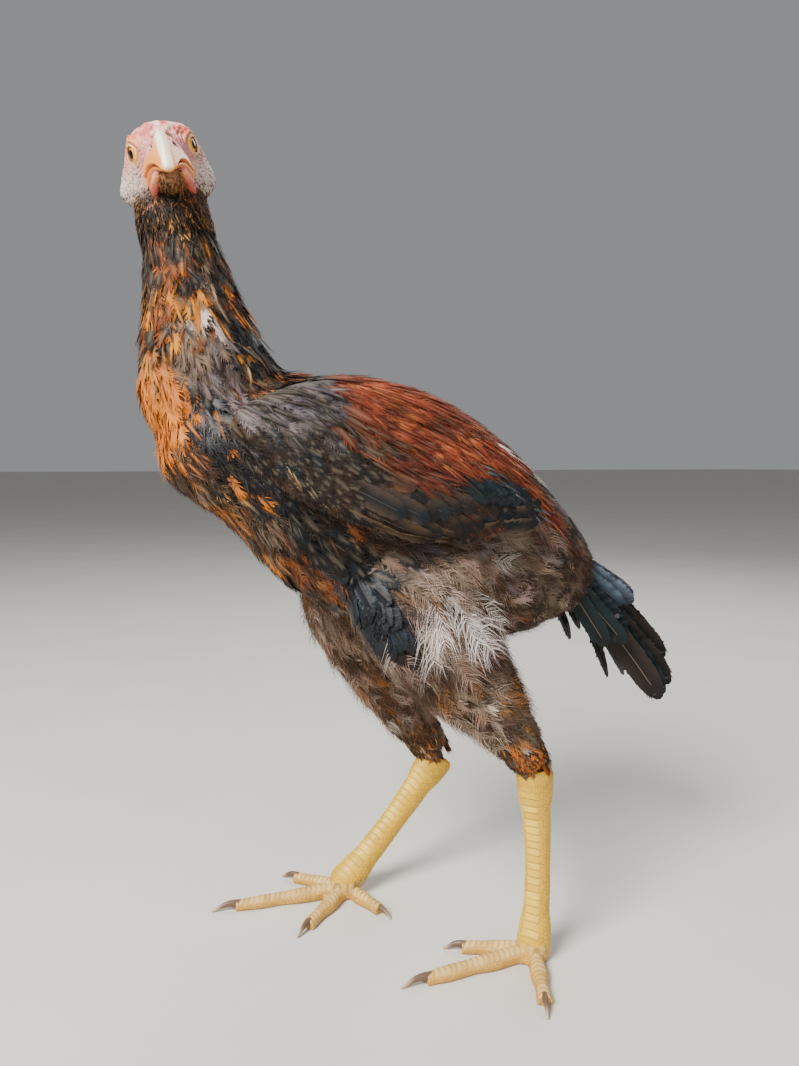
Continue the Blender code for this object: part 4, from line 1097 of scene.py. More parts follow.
def make_wing_coat(side):
    coat = Coat(f"{SIDE_NAME[side]}_wing_feathers", wing[side], wing_tree[side], 1)

    def tier(kinds, count, start, stop, aims, length, width, rise, roll, edge=None):
        """A row of vanes, each lapping over the next, between two places on the wing."""
        where, facing, lie, share = row_of(coat.tree, side, count, start, stop, aims)
        where = where + rng.uniform(-1.2, 1.2, where.shape)
        index = np.array([KIND_NAMES.index(name) for name in rng.choice(kinds, count)])
        bake = np.stack([0.05 + 0.9 * share, np.full(count, 0.1 + 0.02 * rise)], 1)
        long = (length[0] + (length[1] - length[0]) * share) * rng.uniform(0.92, 1.08, count)
        tints = list(tints_of(index, 0.12, 0.12))
        if edge:
            tints[2] = np.tile([*linear(edge), 0.2], (count, 1))
        laid = lay(coat.tree, where, facing, lie, long, 1.6, rise, 8)
        which = rng.integers(0, len(VANED), count)
        rolled = math.radians(roll) * side
        coat.add_all(laid, VANED, which, long, width, tints, bake, rolled, 0.10)

    black = ["soot", "dark_brown"]
    dark = ["dark_brown", "soot", "soot", "blue_black"]
    # The long feathers, and last the pale line that runs down the wing's front edge.
    for row in (
        (black, 10, (98, 282), (4, 262), (24, -6), (72, 48), 10, 2.6, -10, "#5c4b38"),
        (black, 4, (48, 262), (20, 268), (0, -5), (84, 68), 11, 4.4, -10, "#58483a"),
        (dark, 10, (92, 287), (4, 273), (24, 3), (66, 46), 12, 3.6, -8, "#4b3b2d"),
        (dark, 10, (88, 294), (14, 285), (28, 14), (46, 38), 13, 4.2, -6, "#3a2d24"),
        (["umber", "dark_brown"], 6, (122, 316), (99, 287), (60, 40), (27, 36), 3, 1.6, -10,
         "#857259"),
    ):
        tier(*row)

    def outer(b, f):
        return f[:, 0] * side > -0.2

    def front(b, f):
        edge = 76 + 0.55 * (b[:, 2] - 312) + 5 * np.sin(b[:, 2] * 0.35)
        return outer(b, f) & (b[:, 1] > edge)

    def shoulder(b, f):
        return front(b, f) & (b[:, 2] > 319 + 0.2 * (b[:, 1] - 105))

    def rim(b, f):
        return front(b, f) & ~shoulder(b, f)

    def gloss(b, f):
        return outer(b, f) & (b[:, 1] < 8) & (b[:, 2] < 306 + 0.6 * (b[:, 1] - 4))

    def bow(b, f):
        low = 301 + 0.40 * (b[:, 1] - 70) + 3 * np.sin(b[:, 1] * 0.3)
        return outer(b, f) & ~front(b, f) & ~gloss(b, f) & (b[:, 2] > low)

    def lower(b, f):
        return outer(b, f) & ~front(b, f) & ~bow(b, f) & ~gloss(b, f) & (b[:, 2] > 277)

    def middle(b, f):
        return bow(b, f) & (b[:, 2] < 325 + 0.60 * (b[:, 1] - 70)) & (b[:, 1] > 10)

    def upper(b, f):
        return bow(b, f) & ~middle(b, f)

    pull = 0.45 * DOWN
    tract(
        coat, "wing_shoulder", 3.8, (17, 9, 1.5, 1.0), SILKY, 0.55 * DOWN, keep=shoulder,
        spread=0.14, roll=0.09, clump=12,
    )
    tract(
        coat, "wing_front", 3.9, (18, 9.5, 1.5, 1.2), SILKY, 0.55 * DOWN, keep=rim, spread=0.14,
        roll=0.09, clump=12,
    )
    tract(
        coat, "wing_shoulder", 6.0, (17, 5.5, 1.0, 2.4), HACKLE, pull, keep=shoulder, spread=0.25,
        roll=0.2,
    )
    tract(coat, "wing_lower", 4.6, (30, 12, 1.0, 3.2), SMOOTH, 0.3 * DOWN, keep=lower, spread=0.15)
    for part, keep in (("wing_middle", middle), ("wing_bow", upper)):
        tract(coat, part, 4.2, (25, 8.5, 1.0, 2.6), SILKY, pull, keep=keep, spread=0.18, roll=0.12)
        tract(
            coat, part, 3.2, (29, 4.2, 1.0, 3.2), HACKLE, pull, keep=keep, spread=0.16, roll=0.12,
            variety=0.24,
        )
    # The glossy patch low on the rear of the wing, of black feathers with a painted green sheen.
    for row in range(2):
        tier(
            ["green_black", "green_black", "blue_black"], 7, (22 - 5 * row, 306 - 10 * row),
            (-10 - 5 * row, 300 - 10 * row), (46, 34), (36, 32), 11, 5.4 - 1.2 * row, -6,
        )
    tract(
        coat, "tail_covert", 4.0, (16, 4.0, 1.0, 5.2), NARROW, pull,
        keep=lambda b, f: gloss(b, f) & (b[:, 2] > 298 + 0.5 * (b[:, 1] - 10)), spread=0.25,
        roll=0.3,
    )
    return coat


def make_tail_coat():
    """Drooping tail feathers like a steep roof, with their coverts over them."""
    coat = Coat("tail_feathers", tail_root, body_tree, 1)
    rows = []

    def vane(start, aim, side, tilt, length, width, sag, kind):
        t = np.linspace(0, 1, 8)[:, None]
        flat = unit(np.cross(aim, [0, 0, 1]))
        steep = np.cross(flat, aim)
        across = unit(flat * math.sin(tilt) * side + steep * math.cos(tilt))
        rows.append((
            start + aim * (length * t - 12) - np.array([0, 0, 1]) * sag * t**2,
            np.tile(-across * side, (8, 1)), np.tile(np.cross(aim, across), (8, 1)) * side,
            length, width, KIND_NAMES.index(kind),
            (0.5 + side * (0.1 + 0.03 * (len(rows) + 1) / 4), rng.uniform(0.1, 0.9)),
        ))

    for side in (-1, 1):
        for k in range(6):
            share = k / 5
            dip = math.radians(38 + 14 * share + rng.uniform(-2.5, 2.5))
            splay = math.radians(3 + 8 * share)
            start = trunk_place(-142, side * (2.2 + 6.5 * share), 8 - 15 * share)
            aim = heading(side * math.sin(splay), -math.cos(splay) * math.cos(dip), -math.sin(dip))
            length = 92 - 16 * abs(share - 0.55) + rng.uniform(-8, 4)
            vane(start, aim, side, 0.95 - 0.5 * share, length, 20, 7, ("green_black", "soot")[k % 2])
        for k in range(9):
            share = k / 8
            dip = math.radians(30 + 26 * share)
            start = trunk_place(-122 - 8 * (k % 2), side * (6 + 9 * share), 16 - 22 * share)
            aim = heading(side * rng.uniform(0.08, 0.3), -math.cos(dip), -math.sin(dip))
            kind = ("slate_blue", "blue_black", "green_black")[min(2, int(k / 3 + rng.random()))]
            vane(start, aim, side, 0.8 - 0.4 * share, rng.uniform(44, 60), 15, 3, kind)
    *laid, length, width, kinds, bake = (np.array(part) for part in zip(*rows))
    which = np.arange(len(rows)) % len(VANED)
    coat.add_all(laid, VANED, which, length, width, tints_of(kinds, 0.15, 0.35), bake, 0.0, 0.12)
    tract(coat, "tail_covert", 4.0, (26, 9, 3.0, 1.5), BODY, 0.2 * DOWN, spread=0.2, allow=4.0)
    return coat


# Materials.

TIMES = {"operation": "MULTIPLY"}


def add_node(tree, kind, settings=None, **inputs):
    """Adds a node with its settings, and a value or a link for each named input."""
    made = tree.nodes.new(kind)
    for key, value in (settings or {}).items():
        setattr(made, key, value)
    for key, value in inputs.items():
        name = key.replace("_", " ")
        socket = made.inputs[int(key[1:])] if key[1:].isdigit() else made.inputs[name]
        if isinstance(value, bpy.types.NodeSocket):
            tree.links.new(value, socket)
        else:
            socket.default_value = value
    return made


def new_material(name, **values):
    """A material, and its surface's own values."""
    made = bpy.data.materials.new(name)
    made.use_nodes = True
    shader = made.node_tree.nodes["Principled BSDF"]
    for key, value in values.items():
        shader.inputs[key.replace("_", " ")].default_value = value
    return made, made.node_tree, shader


def tinted(tree, factor, low, high):
    """The stored tint, made darker and lighter by a pattern."""
    tint = add_node(tree, "ShaderNodeAttribute", {"attribute_name": "Tint"})
    light = add_node(tree, "ShaderNodeMapRange", Value=factor, To_Min=low, To_Max=high)
    colour = add_node(
        tree, "ShaderNodeVectorMath", {"operation": "SCALE"}, i0=tint.outputs["Color"],
        Scale=light.outputs["Result"],
    )
    return tint, colour.outputs["Vector"]


def feather_material():
    """Keratin feather vanes: fine barbs that slant from the shaft give a silky, streaked surface."""
    made, tree, shader = new_material("feather_keratin", IOR=1.54, Specular_IOR_Level=0.16)
    vane = add_node(tree, "ShaderNodeUVMap", {"uv_map": "Vane"})
    parts = add_node(tree, "ShaderNodeSeparateXYZ", i0=vane.outputs["UV"])
    off = add_node(tree, "ShaderNodeMath", {"operation": "ABSOLUTE"}, i0=parts.outputs["X"])
    slant = add_node(
        tree, "ShaderNodeMath", {"operation": "MULTIPLY_ADD"}, i0=off.outputs[0], i1=-1.1,
        i2=parts.outputs["Y"],
    )
    # Real barbs lie about 0.3 mm apart. They are drawn about 0.8 mm apart, so that they show.
    across = add_node(tree, "ShaderNodeMath", TIMES, i0=slant.outputs[0], i1=1300.0)
    down = add_node(tree, "ShaderNodeMath", TIMES, i0=off.outputs[0], i1=220.0)
    spot = add_node(tree, "ShaderNodeCombineXYZ", X=across.outputs[0], Y=down.outputs[0])
    barbs = add_node(
        tree, "ShaderNodeTexNoise", Vector=spot.outputs[0], Scale=1.0, Detail=2.0, Roughness=0.6
    )
    tint, colour = tinted(tree, barbs.outputs["Fac"], 0.45, 1.55)
    tree.links.new(colour, shader.inputs["Base Color"])
    rough = add_node(
        tree, "ShaderNodeMapRange", Value=tint.outputs["Alpha"], To_Min=0.80, To_Max=0.38
    )
    tree.links.new(rough.outputs["Result"], shader.inputs["Roughness"])
    bump = add_node(
        tree, "ShaderNodeBump", Height=barbs.outputs["Fac"], Strength=0.6, Distance=0.0003
    )
    tree.links.new(bump.outputs["Normal"], shader.inputs["Normal"])
    return made


def patterned(name, scale, detail, low, high, **values):
    """A material whose stored tint is made darker and lighter by a pattern in the object's space."""
    made, tree, shader = new_material(name, **values)
    where = add_node(tree, "ShaderNodeTexCoord").outputs["Object"]
    pattern = add_node(tree, "ShaderNodeTexNoise", Vector=where, Scale=scale, Detail=detail)
    tint, colour = tinted(tree, pattern.outputs["Fac"], low, high)
    tree.links.new(colour, shader.inputs["Base Color"])
    return made, tree, shader, where, pattern, tint, colour


def skin_material():
    """Bare live skin: pores and fine folds under a soft, slightly oily surface."""
    made, tree, shader, where, pores, tint, colour = patterned(
        "bare_skin", 900.0, 3.0, 0.72, 1.28, Roughness=0.55, Subsurface_Weight=0.12,
        Subsurface_Scale=0.002, IOR=1.42,
    )
    # Grey-brown stubs of feathers just under the skin, about 0.9 mm apart and in clusters.
    stubs = add_node(tree, "ShaderNodeTexVoronoi", Vector=where, Scale=1150.0)
    clusters = add_node(tree, "ShaderNodeTexNoise", Vector=where, Scale=330.0, Detail=2.0)
    thick = add_node(
        tree, "ShaderNodeMapRange", Value=clusters.outputs["Fac"], From_Min=0.40, From_Max=0.58
    )
    spots = add_node(
        tree, "ShaderNodeMapRange", Value=stubs.outputs["Distance"], From_Min=0.46, From_Max=0.16,
        To_Max=0.85,
    )
    share = add_node(
        tree, "ShaderNodeMath", TIMES, i0=thick.outputs["Result"], i1=tint.outputs["Alpha"]
    )
    amount = add_node(
        tree, "ShaderNodeMath", TIMES, i0=spots.outputs["Result"], i1=share.outputs[0]
    )
    speckled = add_node(
        tree, "ShaderNodeMix", {"data_type": "RGBA"}, i0=amount.outputs[0], i6=colour,
        i7=(*linear("#5b4640"), 1),
    )
    tree.links.new(speckled.outputs[2], shader.inputs["Base Color"])
    bump = add_node(
        tree, "ShaderNodeBump", Height=pores.outputs["Fac"], Strength=0.6, Distance=0.0006
    )
    tree.links.new(bump.outputs["Normal"], shader.inputs["Normal"])
    return made


def horn_material(name, roughness, polish):
    """Horn, as a beak or claw has: growth lines and scratches under a dull polish."""
    made, tree, shader, _, lines, _, _ = patterned(
        name, 420.0, 4.0, 0.86, 1.14, Roughness=roughness, Coat_Weight=polish, Coat_Roughness=0.25,
        IOR=1.55, Subsurface_Weight=0.06, Subsurface_Scale=0.001,
    )
    lines.inputs["Distortion"].default_value = 0.6
    bump = add_node(
        tree, "ShaderNodeBump", Height=lines.outputs["Fac"], Strength=0.2, Distance=0.0002
    )
    tree.links.new(bump.outputs["Normal"], shader.inputs["Normal"])
    return made


def leg_material():
    """Keratin leg scales: waxy yellow plates with dust in the joints between them."""
    made, tree, shader, where, *_ = patterned(
        "leg_scales", 260.0, 5.0, 0.84, 1.14, Roughness=0.48, Subsurface_Weight=0.08,
        Subsurface_Scale=0.0015,
    )
    fine = add_node(tree, "ShaderNodeTexNoise", Vector=where, Scale=1500.0, Detail=2.0)
    bump = add_node(
        tree, "ShaderNodeBump", Height=fine.outputs["Fac"], Strength=0.25, Distance=0.0002
    )
    tree.links.new(bump.outputs["Normal"], shader.inputs["Normal"])
    return made


def eye_material():
    """The wet cornea over an amber iris: a sharp highlight over streaks round the pupil."""
    return patterned(
        "eye_wet", 1800.0, 2.0, 0.9, 1.1, Roughness=0.30, Specular_IOR_Level=0.25,
        Coat_Weight=0.22, Coat_Roughness=0.03, IOR=1.38,
    )[0]


FEATHER = feather_material()
SKIN = skin_material()
LEG = leg_material()
BEAK = horn_material("beak_horn", 0.42, 0.25)
CLAW = horn_material("claw_horn", 0.5, 0.1)
EYE = eye_material()


def blend(first, second, share):
    """Between two colours, each a hex code or an array with a gloss, by a share for each point."""
    first, second = (
        np.array([*linear(c), 0.0]) if isinstance(c, str) else c for c in (first, second)
    )
    return first * (1 - share[:, None]) + second * share[:, None]


def layered(colour, *layers):
    """A colour with others laid over it in turn, each with its share for each point."""
    for over, share in layers:
        colour = blend(colour, over, share)
    return colour


def hump(*terms):
    """A soft hump round a place, from each term's value, its middle and its width."""
    return np.exp(-sum(((value - middle) / width) ** 2 for value, middle, width in terms))


# The head: bare skin, comb, lids, jaw.


def ball(centre, radii, axes, segments=16, rings=10):
    """A rounded lump, in millimetres, turned to its own axes."""
    bpy.ops.mesh.primitive_uv_sphere_add(segments=segments, ring_count=rings, radius=0.001)
    piece = bpy.context.object
    points, _ = points_of(piece)
    put_points(piece, centre + (points * np.array(radii)) @ np.array(axes))
    return piece


def eye_axes(side):
    gaze = unit(HEAD_FORWARD * math.cos(EYE_TURN) + HEAD_LEFT * side * math.sin(EYE_TURN))
    upright = unit(HEAD_UP - gaze * (HEAD_UP @ gaze))
    return head_place(1.6, side * EYE_SPREAD, 0), gaze, upright, np.cross(gaze, upright)


def round_eye(side, points):
    """How far points are from the eye's line of sight, if they are in front, and how high."""
    centre, gaze, upright, _ = eye_axes(side)
    away = points - centre
    off = np.linalg.norm(away - gaze * dot(away, gaze), axis=1)
    return off, dot(away, gaze)[:, 0] > 0, dot(away, upright)[:, 0]


def lid_ring(side, long, tall, thick, reach, brow=0.0):
    """A fold of skin round the eye that hugs the eyeball, thicker over it by a brow's share."""
    centre, gaze, upright, lengthwise = eye_axes(side)
    turns, sides = 64, 14
    a = np.repeat(np.arange(turns) * 2 * math.pi / turns, sides)
    b = np.tile(np.arange(sides) * 2 * math.pi / sides, turns)
    radius = np.hypot(long * np.cos(a), tall * np.sin(a))
    radial = unit(
        lengthwise * (long * np.cos(a))[:, None] + upright * (tall * np.sin(a))[:, None]
    )
    high = np.sqrt(np.maximum(reach**2 - radius**2, 1.0))
    fat = thick * (1 + brow * np.maximum(0, np.sin(a)))
    middle = centre + radial * radius[:, None] + gaze * high[:, None]
    points = middle + (radial * np.cos(b)[:, None] + gaze * np.sin(b)[:, None]) * fat[:, None]
    i, j = np.arange(turns)[:, None], np.arange(sides)[None]
    k, m = (j + 1) % sides, (i + 1) % turns
    faces = np.stack([i * sides + j, i * sides + k, m * sides + k, m * sides + j], -1)
    piece = mesh_piece("lid", points, faces.reshape(-1, 4))
    face_out(piece)
    return piece


def make_head_skin():
    pieces = [form_piece("head_skin", head, 110, 110)]
    for row, count in ((0, 6), (-1, 5), (1, 5)):
        for k in range(count):
            share = k / (count - 1)
            forward = 13 - 21 * share + rng.uniform(-0.6, 0.6)
            rise = 6.9 + 4.2 * math.sin(math.pi * 0.60 * share) - abs(row) * 0.5
            size = (2.6 if row == 0 else 2.8) * (0.68 + 0.50 * math.sin(math.pi * share))
            size *= rng.uniform(0.85, 1.15)
            centre = head_place(forward, row * (3.3 + 0.8 * share) + rng.uniform(-0.4, 0.4), rise)
            pieces.append(ball(centre, (size, size * 0.85, size * 0.95), HEAD_FRAME))
    for side in (-1, 1):
        pieces.append(lid_ring(side, 4.35, 3.6, 0.7, 7.0, 0.2))
        pieces.append(lid_ring(side, 6.3, 5.3, 1.0, 7.3, 0.6))
        jaw = [
            (*head_place(22, side * 6.0, -12.2), 1.4, 1.6, 1.6),
            (*head_place(15, side * 8.4, -15.9), 1.7, 1.8, 1.6),
            (*head_place(9, side * 9.4, -19.8), 1.5, 1.5, 1.4),
            (*head_place(4, side * 9.6, -22.6), 1.1, 1.1, 1.1),
            (*head_place(-4, side * 8.4, -24.6), 0.6, 0.6, 0.6),
        ]
        pieces.append(form_piece("jaw", Tube(jaw, across=HEAD_LEFT), 40, 20))
    skin = merged("skin", pieces, 0.43, 2)
    points, facing = points_of(skin)
    f, _, u = in_head(points).T
    crown = smooth(u, 1, 8) * smooth(f, 15, 10)
    folds = 1 - 2.2 * np.abs(grain(points, 4.4, 1.0, 2))
    change = 0.85 * crown * (folds - 0.35) + 0.16 * grain(points, 1.2, 4.0, 1)
    change += 0.50 * (1 - crown) * (0.8 - np.abs(grain(points, 2.4, 9.0, 2)))
    for side in (-1, 1):
        off, ahead, _ = round_eye(side, points)
        rings = np.sin(off * 2 * math.pi / 1.9 + 2 * grain(points, 5, 2.0, 1))
        change += 0.28 * (hump((off, 8.5, 2.6)) * ahead) * rings
        change *= 1 - 0.9 * (hump((off, 4.6, 1.3)) * ahead)
        change -= ((off < 3.4) & ahead) * 1.5
    put_points(skin, points + facing * change[:, None])
    return skin


def head_colours(points):
    """The skin's colours. The fourth number is how much it is speckled."""
    f, left, u = in_head(points).T
    side = np.abs(left)
    soft = grain(points, 6.0, 3.0, 2)
    veins = 1 - np.abs(grain(points, 2.2, 5.0, 2))
    crown = smooth(u, 2, 9)
    comb = smooth(side, 6.5, 4.0) * smooth(u, 7.5, 9.5) * smooth(f, 17, 13)
    brow = hump((f, 4, 5), (side, 13, 4), (u, 7.5, 3))
    pale = smooth(side, 9, 17) * smooth(u, -4, -12)
    lores = hump((f, 12, 4), (side, 9, 4), (u, -2, 5))
    colour = layered(
        "#c8857c", ("#dca299", crown),
        ("#b23a38", (0.35 + 0.65 * crown) * smooth(soft, -0.05, 0.4) * 0.8),
        ("#ad4646", smooth(veins, 0.78, 1.0) * 0.55),
        ("#ead0c6", crown * smooth(soft, 0.1, -0.35) * 0.65),
        ("#c95a60", comb * smooth(soft, -0.3, 0.3) * 0.8),
        ("#c24a40", brow * np.where(left > 0, 0.95, 0.5)),
        ("#c9bab0", pale * 0.85), ("#b07f85", lores * 0.6),
    )
    jaw = smooth(u, -11.5, -13.5) * smooth(side, 4.6, 6.2) * smooth(side, 12.6, 10.6)
    jaw = jaw * smooth(u, -26.5, -24)
    jaw = jaw * smooth(f, -3, 9) * (1 - 0.35 * smooth(grain(points, 1.6, 14.0, 1), 0.0, 0.5))
    salmon = blend("#e0935a", "#bf5549", smooth(u, -13, -19))
    colour = np.where(
        jaw[:, None] > 0.02, colour * (1 - 0.9 * jaw[:, None]) + salmon * 0.9 * jaw[:, None], colour
    )
    gape = hump((f, 10, 4), (side, 12, 2.5), (u, -13, 3))
    throat = smooth(side, 7.4 - 0.12 * (f - 8), 5.8 - 0.12 * (f - 8)) * smooth(u, -9.5, -11.5)
    throat = throat * smooth(f, 29, 26)
    brown = blend("#80552f", "#563620", smooth(grain(points, 1.1, 21.0, 2), -0.2, 0.4))
    seam = hump((side - 7.2 + 0.12 * (f - 8), 0, 0.8)) * smooth(u, -11, -13)
    colour = layered(
        colour, ("#e09a3e", gape * 0.8), ("#3b2a1f", smooth(u, -25, -29) * smooth(f, -30, -20)),
        ("#2c2019", smooth(f, -20, -25) * smooth(u, 9, 3) * 0.95), (brown, throat),
        ("#5a2418", seam * smooth(f, 26, 20) * 0.6),
    )
    speckled = 0.62 + 0.10 * crown + 0.38 * pale + 0.3 * lores
    for s in (-1, 1):
        off, ahead, above = round_eye(s, points)
        rim = hump((off, 4.4, 0.9)) * ahead
        high = smooth(above, 0.5, 4) * ahead
        colour = layered(
            colour, ("#dfae58", rim * 0.9),
            ("#d98a3c", hump((off, 7, 1.6)) * high * (0.7 if s == -1 else 0.3)),
            # A dark line round the lids, heaviest over the eye, is partly the lids' own dark edge and
            # partly painted shade from the brow fold over the top of the eye.
            ("#5c2a1c", hump((off, 5.6, 0.45)) * (0.35 + 0.65 * high) * ahead * 0.75),
            ("#3c2216", smooth(off, 3.9, 3.5) * ahead),
        )
        speckled = speckled * (1 - rim)
    colour[:, 3] = np.clip(speckled * (1 - 0.8 * jaw), 0, 1)
    return np.clip(colour, DARKEST, 0.95)


def make_skin():
    body = merged(
        "body_skin",
        [
            form_piece("a", trunk, 50, 48, 4.5), form_piece("b", neck, 40, 40, 4.0),
            form_piece("c", tail_root, 14, 20, 2.0),
            *(form_piece(f"d{s}", thigh[s], 40, 32, 3.4) for s in (1, -1)),
            *(form_piece(f"e{s}", wing_form(s, 1.0), 40, 32) for s in (1, -1)),
        ],
        2.4, 3,
    )
    skin = make_head_skin()
    pick(skin)
    union = skin.modifiers.new("union", "BOOLEAN")
    union.operation, union.solver, union.object = "UNION", "MANIFOLD", body
    bpy.ops.object.modifier_apply(modifier=union.name)
    bpy.data.objects.remove(body)
    skin.data.materials.clear()
    skin.data.shade_smooth()
    points, _ = points_of(skin)
    colours = head_colours(points)
    under = blend("#3a2a20", "#5b4435", smooth(grain(points, 12, 1.0, 2), -0.3, 0.5))
    away = np.linalg.norm(in_head(points) - [-2, 0, -8], axis=1)
    colour_points(skin, blend(colours, under, smooth(away, 27, 33)))
    skin.data.materials.append(SKIN)
    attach(skin, "root")
    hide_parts("torso", "neck", "head", "comb")
    return skin


def make_eye(side):
    centre, gaze, upright, lengthwise = eye_axes(side)
    name = f"{SIDE_NAME[side]}_eyeball"
    eye = ball(centre, (EYE_RADIUS,) * 3, (lengthwise, upright, gaze), 64, 90)
    eye.name = eye.data.name = name
    points, _ = points_of(eye)
    away = unit(points - centre)
    angle = np.degrees(np.arccos(np.clip(away @ gaze, -1, 1)))
    around = np.arctan2(away @ upright, away @ lengthwise)
    streak = np.sin(around * 23 + 1.3 * np.sin(around * 7)) * 0.5 + 0.5 * np.sin(around * 41)
    iris = blend("#d98a1e", "#efc95e", smooth(angle, 20, 36))
    iris[:, :3] *= (1 + 0.16 * streak)[:, None]
    colour = layered(
        "#0a0807", (iris, smooth(angle, 18.0, 20.0)), ("#4a331c", smooth(angle, 42, 46)),
        ("#b9a79a", smooth(angle, 50, 60)),
    )
    colour_points(eye, np.clip(colour, DARKEST, PALEST))
    # The cornea stands a little out of the ball.
    bulge = 0.45 * hump((angle, 0, 26))
    put_points(eye, points + away * bulge[:, None])
    eye.data.shade_smooth()
    eye.data.materials.append(EYE)
    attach(eye, "root")
    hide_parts(f"{SIDE_NAME[side]}_eye")


def mouth_line(forward):
    return -8.0 - np.where(forward < 20, 0.049, 0.024) * (forward - 20) ** 2


UPPER_BEAK = ((10, 12.4, 20.0), (15, 10.4, 15.4), (20, 8.2, 12.0), (25, 6.2, 9.4), (30, 4.7, 7.0),
              (33.2, 3.5, 5.0), (34.8, 2.0, 3.2))
LOWER_BEAK = ((10, 12.0, 4.4), (15, 10.0, 4.2), (20, 7.8, 3.6), (25.5, 5.2, 3.0), (30, 2.6, 2.2),
              (31, 1.2, 1.4))


def make_beak():
    rows = [
        [*head_place(f, 0, mouth_line(f) + 1.35), half, tall - 1.2, 1.2]
        for f, half, tall in UPPER_BEAK
    ]
    form = Tube(rows, across=HEAD_LEFT, upward=HEAD_UP, pinch=1.25)
    upper = form_piece("upper_beak_horn", form, 90, 88)
    points, facing = points_of(upper)
    f, left, u = in_head(points).T
    side = np.abs(left)
    ridge = hump((left, 0, 2.6)) * smooth(u, -6, 2) * smooth(f, 34, 30)
    change = 0.9 * ridge
    # Nostrils: slanted slits under a flap of horn.
    slope = 0.35 * (f - 18)
    slit = hump((f, 18.0, 1.7), (u - 0.5 + slope, 0, 1.0)) * (side > 3)
    flap = hump((f, 17.6, 2.4), (u - 2.5 + slope, 0, 0.9)) * (side > 3)
    edge = hump((u - mouth_line(f), 0.9, 0.8)) * smooth(side, 2, 4)
    change += -2.2 * slit + 0.7 * flap + 0.35 * edge
    lines = grain(points + 3 * np.outer(f, HEAD_FORWARD), 3.0, 2.0, 2)
    change += 0.10 * lines + 0.12 * smooth(f, 24, 14) * grain(points, 1.4, 6.0, 2)
    put_points(upper, points + facing * change[:, None])
    low = u - mouth_line(f)
    culmen = smooth(side, 3.5, 1.9) * smooth(low, 1.0, 3.5)
    stain = smooth(grain(points, 3.0, 12.0, 3), 0.05, 0.5) * smooth(f, 12, 20)
    colour = layered(
        "#cf8f84", ("#b3605c", smooth(grain(points, 2.5, 8.0, 2), -0.1, 0.4)),
        ("#d98c48", smooth(f + 0.5 * (low - 8), 18.5, 23.5)),
        ("#efe3d3", culmen * (0.8 + 0.2 * smooth(f, 30, 22))),
        ("#e08c1c", smooth(low, 7.0, 3.5) * smooth(side, 2.2, 3.8) * 0.9),
        ("#c25e0c", smooth(low, 1.9, 0.4) * smooth(f, 32, 26) * 0.85),
        ("#b79a72", stain * 0.35),
    )
    colour[:, :3] *= (1 + 0.10 * lines)[:, None]
    colour = blend(colour, "#200c08", np.clip(slit * 4.0 - 0.6, 0, 1))
    colour_points(upper, np.clip(colour, DARKEST, PALEST))

    rows = [
        [*head_place(f, 0, mouth_line(f) - 0.95), half, 0.8, deep - 0.8]
        for f, half, deep in LOWER_BEAK
    ]
    lower = form_piece("lower_beak_horn", Tube(rows, across=HEAD_LEFT, upward=HEAD_UP), 70, 64)
    points, facing = points_of(lower)
    f, _, u = in_head(points).T
    low = mouth_line(f) - u
    put_points(lower, points + facing * (0.05 * grain(points, 1.2, 6.0, 2))[:, None])
    colour = layered(
        "#dd8d28", ("#bd5f1c", smooth(low, 1.5, 0.5)),
        ("#d97a4e", smooth(f, 27, 17) * smooth(low, 1.0, 3.0)),
    )
    colour_points(lower, np.clip(colour, DARKEST, PALEST))
    for piece, cad in ((upper, "upper_beak"), (lower, "lower_beak")):
        piece.data.materials.append(BEAK)
        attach(piece, "root")
        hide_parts(cad)


# Legs, feet and claws.


def cells(u, v, size, seed):
    """Rounded cells on a plane: how far each point is from its cell's edge, and a number per cell."""
    row = np.floor(v / (size * 0.87))
    best = np.full(len(u), 1e9)
    second, number = best.copy(), best * 0
    for dr in (-1, 0, 1):
        for dc in (-1, 0, 1):
            r = row + dr
            c = np.floor(u / size - 0.5 * (r % 2)) + dc
            # Two numbers that seem random, from the cell's row and column.
            key = np.sin(c * 12.9898 + r * 78.233 + seed) * 43758.5453
            a, b = key % 1.0, (key * 7.13) % 1.0
            x = (c + 0.5 + 0.5 * (r % 2) + 0.3 * (a - 0.5)) * size
            y = (r + 0.5 + 0.3 * (b - 0.5)) * size * 0.87
            away = np.hypot(u - x, v - y)
            nearer = away < best
            second = np.where(nearer, best, np.minimum(second, away))
            number = np.where(nearer, (a * 5.7) % 1.0, number)
            best = np.where(nearer, away, best)
    return second - best, number


def plates(along, across, pitch, half_across, shift=0.0):
    """Overlapping plates across a ridge: distance to the nearest joint, rise, and a number each."""
    arch = 0.9 * (across / half_across) ** 2
    at = (along - arch) / pitch + shift
    share = at % 1.0
    number = (np.sin(np.floor(at) * 91.7 + shift * 31) * 43758.5) % 1.0
    return np.minimum(share, 1 - share) * pitch, share, number


def ball_of_foot(side):
    return place(*FOOT[side], 0)


def toe_ends(side, toe):
    out, ahead = TOES[side][toe][:2]
    start = ball_of_foot(side)
    return start, start + np.array([side * out, -ahead, 0.0])


def shank_rows(side):
    table = np.array(SHANK_SECTIONS, float)
    top, foot = place(*HOCK[side]), place(*FOOT[side], ANKLE_HEIGHT)
    rows = []
    for share in np.linspace(0, 1, 25):
        k = min(int(np.searchsorted(table[:, 0], share, side="right")) - 1, len(table) - 2)
        t = smooth(share, table[k, 0], table[k + 1, 0])
        half, front, back = table[k, 1:] * (1 - t) + table[k + 1, 1:] * t
        lie = top * (1 - share) + foot * share + [0, SHANK_BOW * math.sin(math.pi * share), 0]
        deep = SHANK_DEPTH[side]
        rows.append([*lie, half, front * deep, back * deep])
    ball_x, ball_y, _ = rows[-1][:3]
    return rows + [[ball_x, ball_y, 4.5, 9.8, 9.8, 9.8], [ball_x, ball_y, 0.4, 8.2, 8.2, 8.2]]


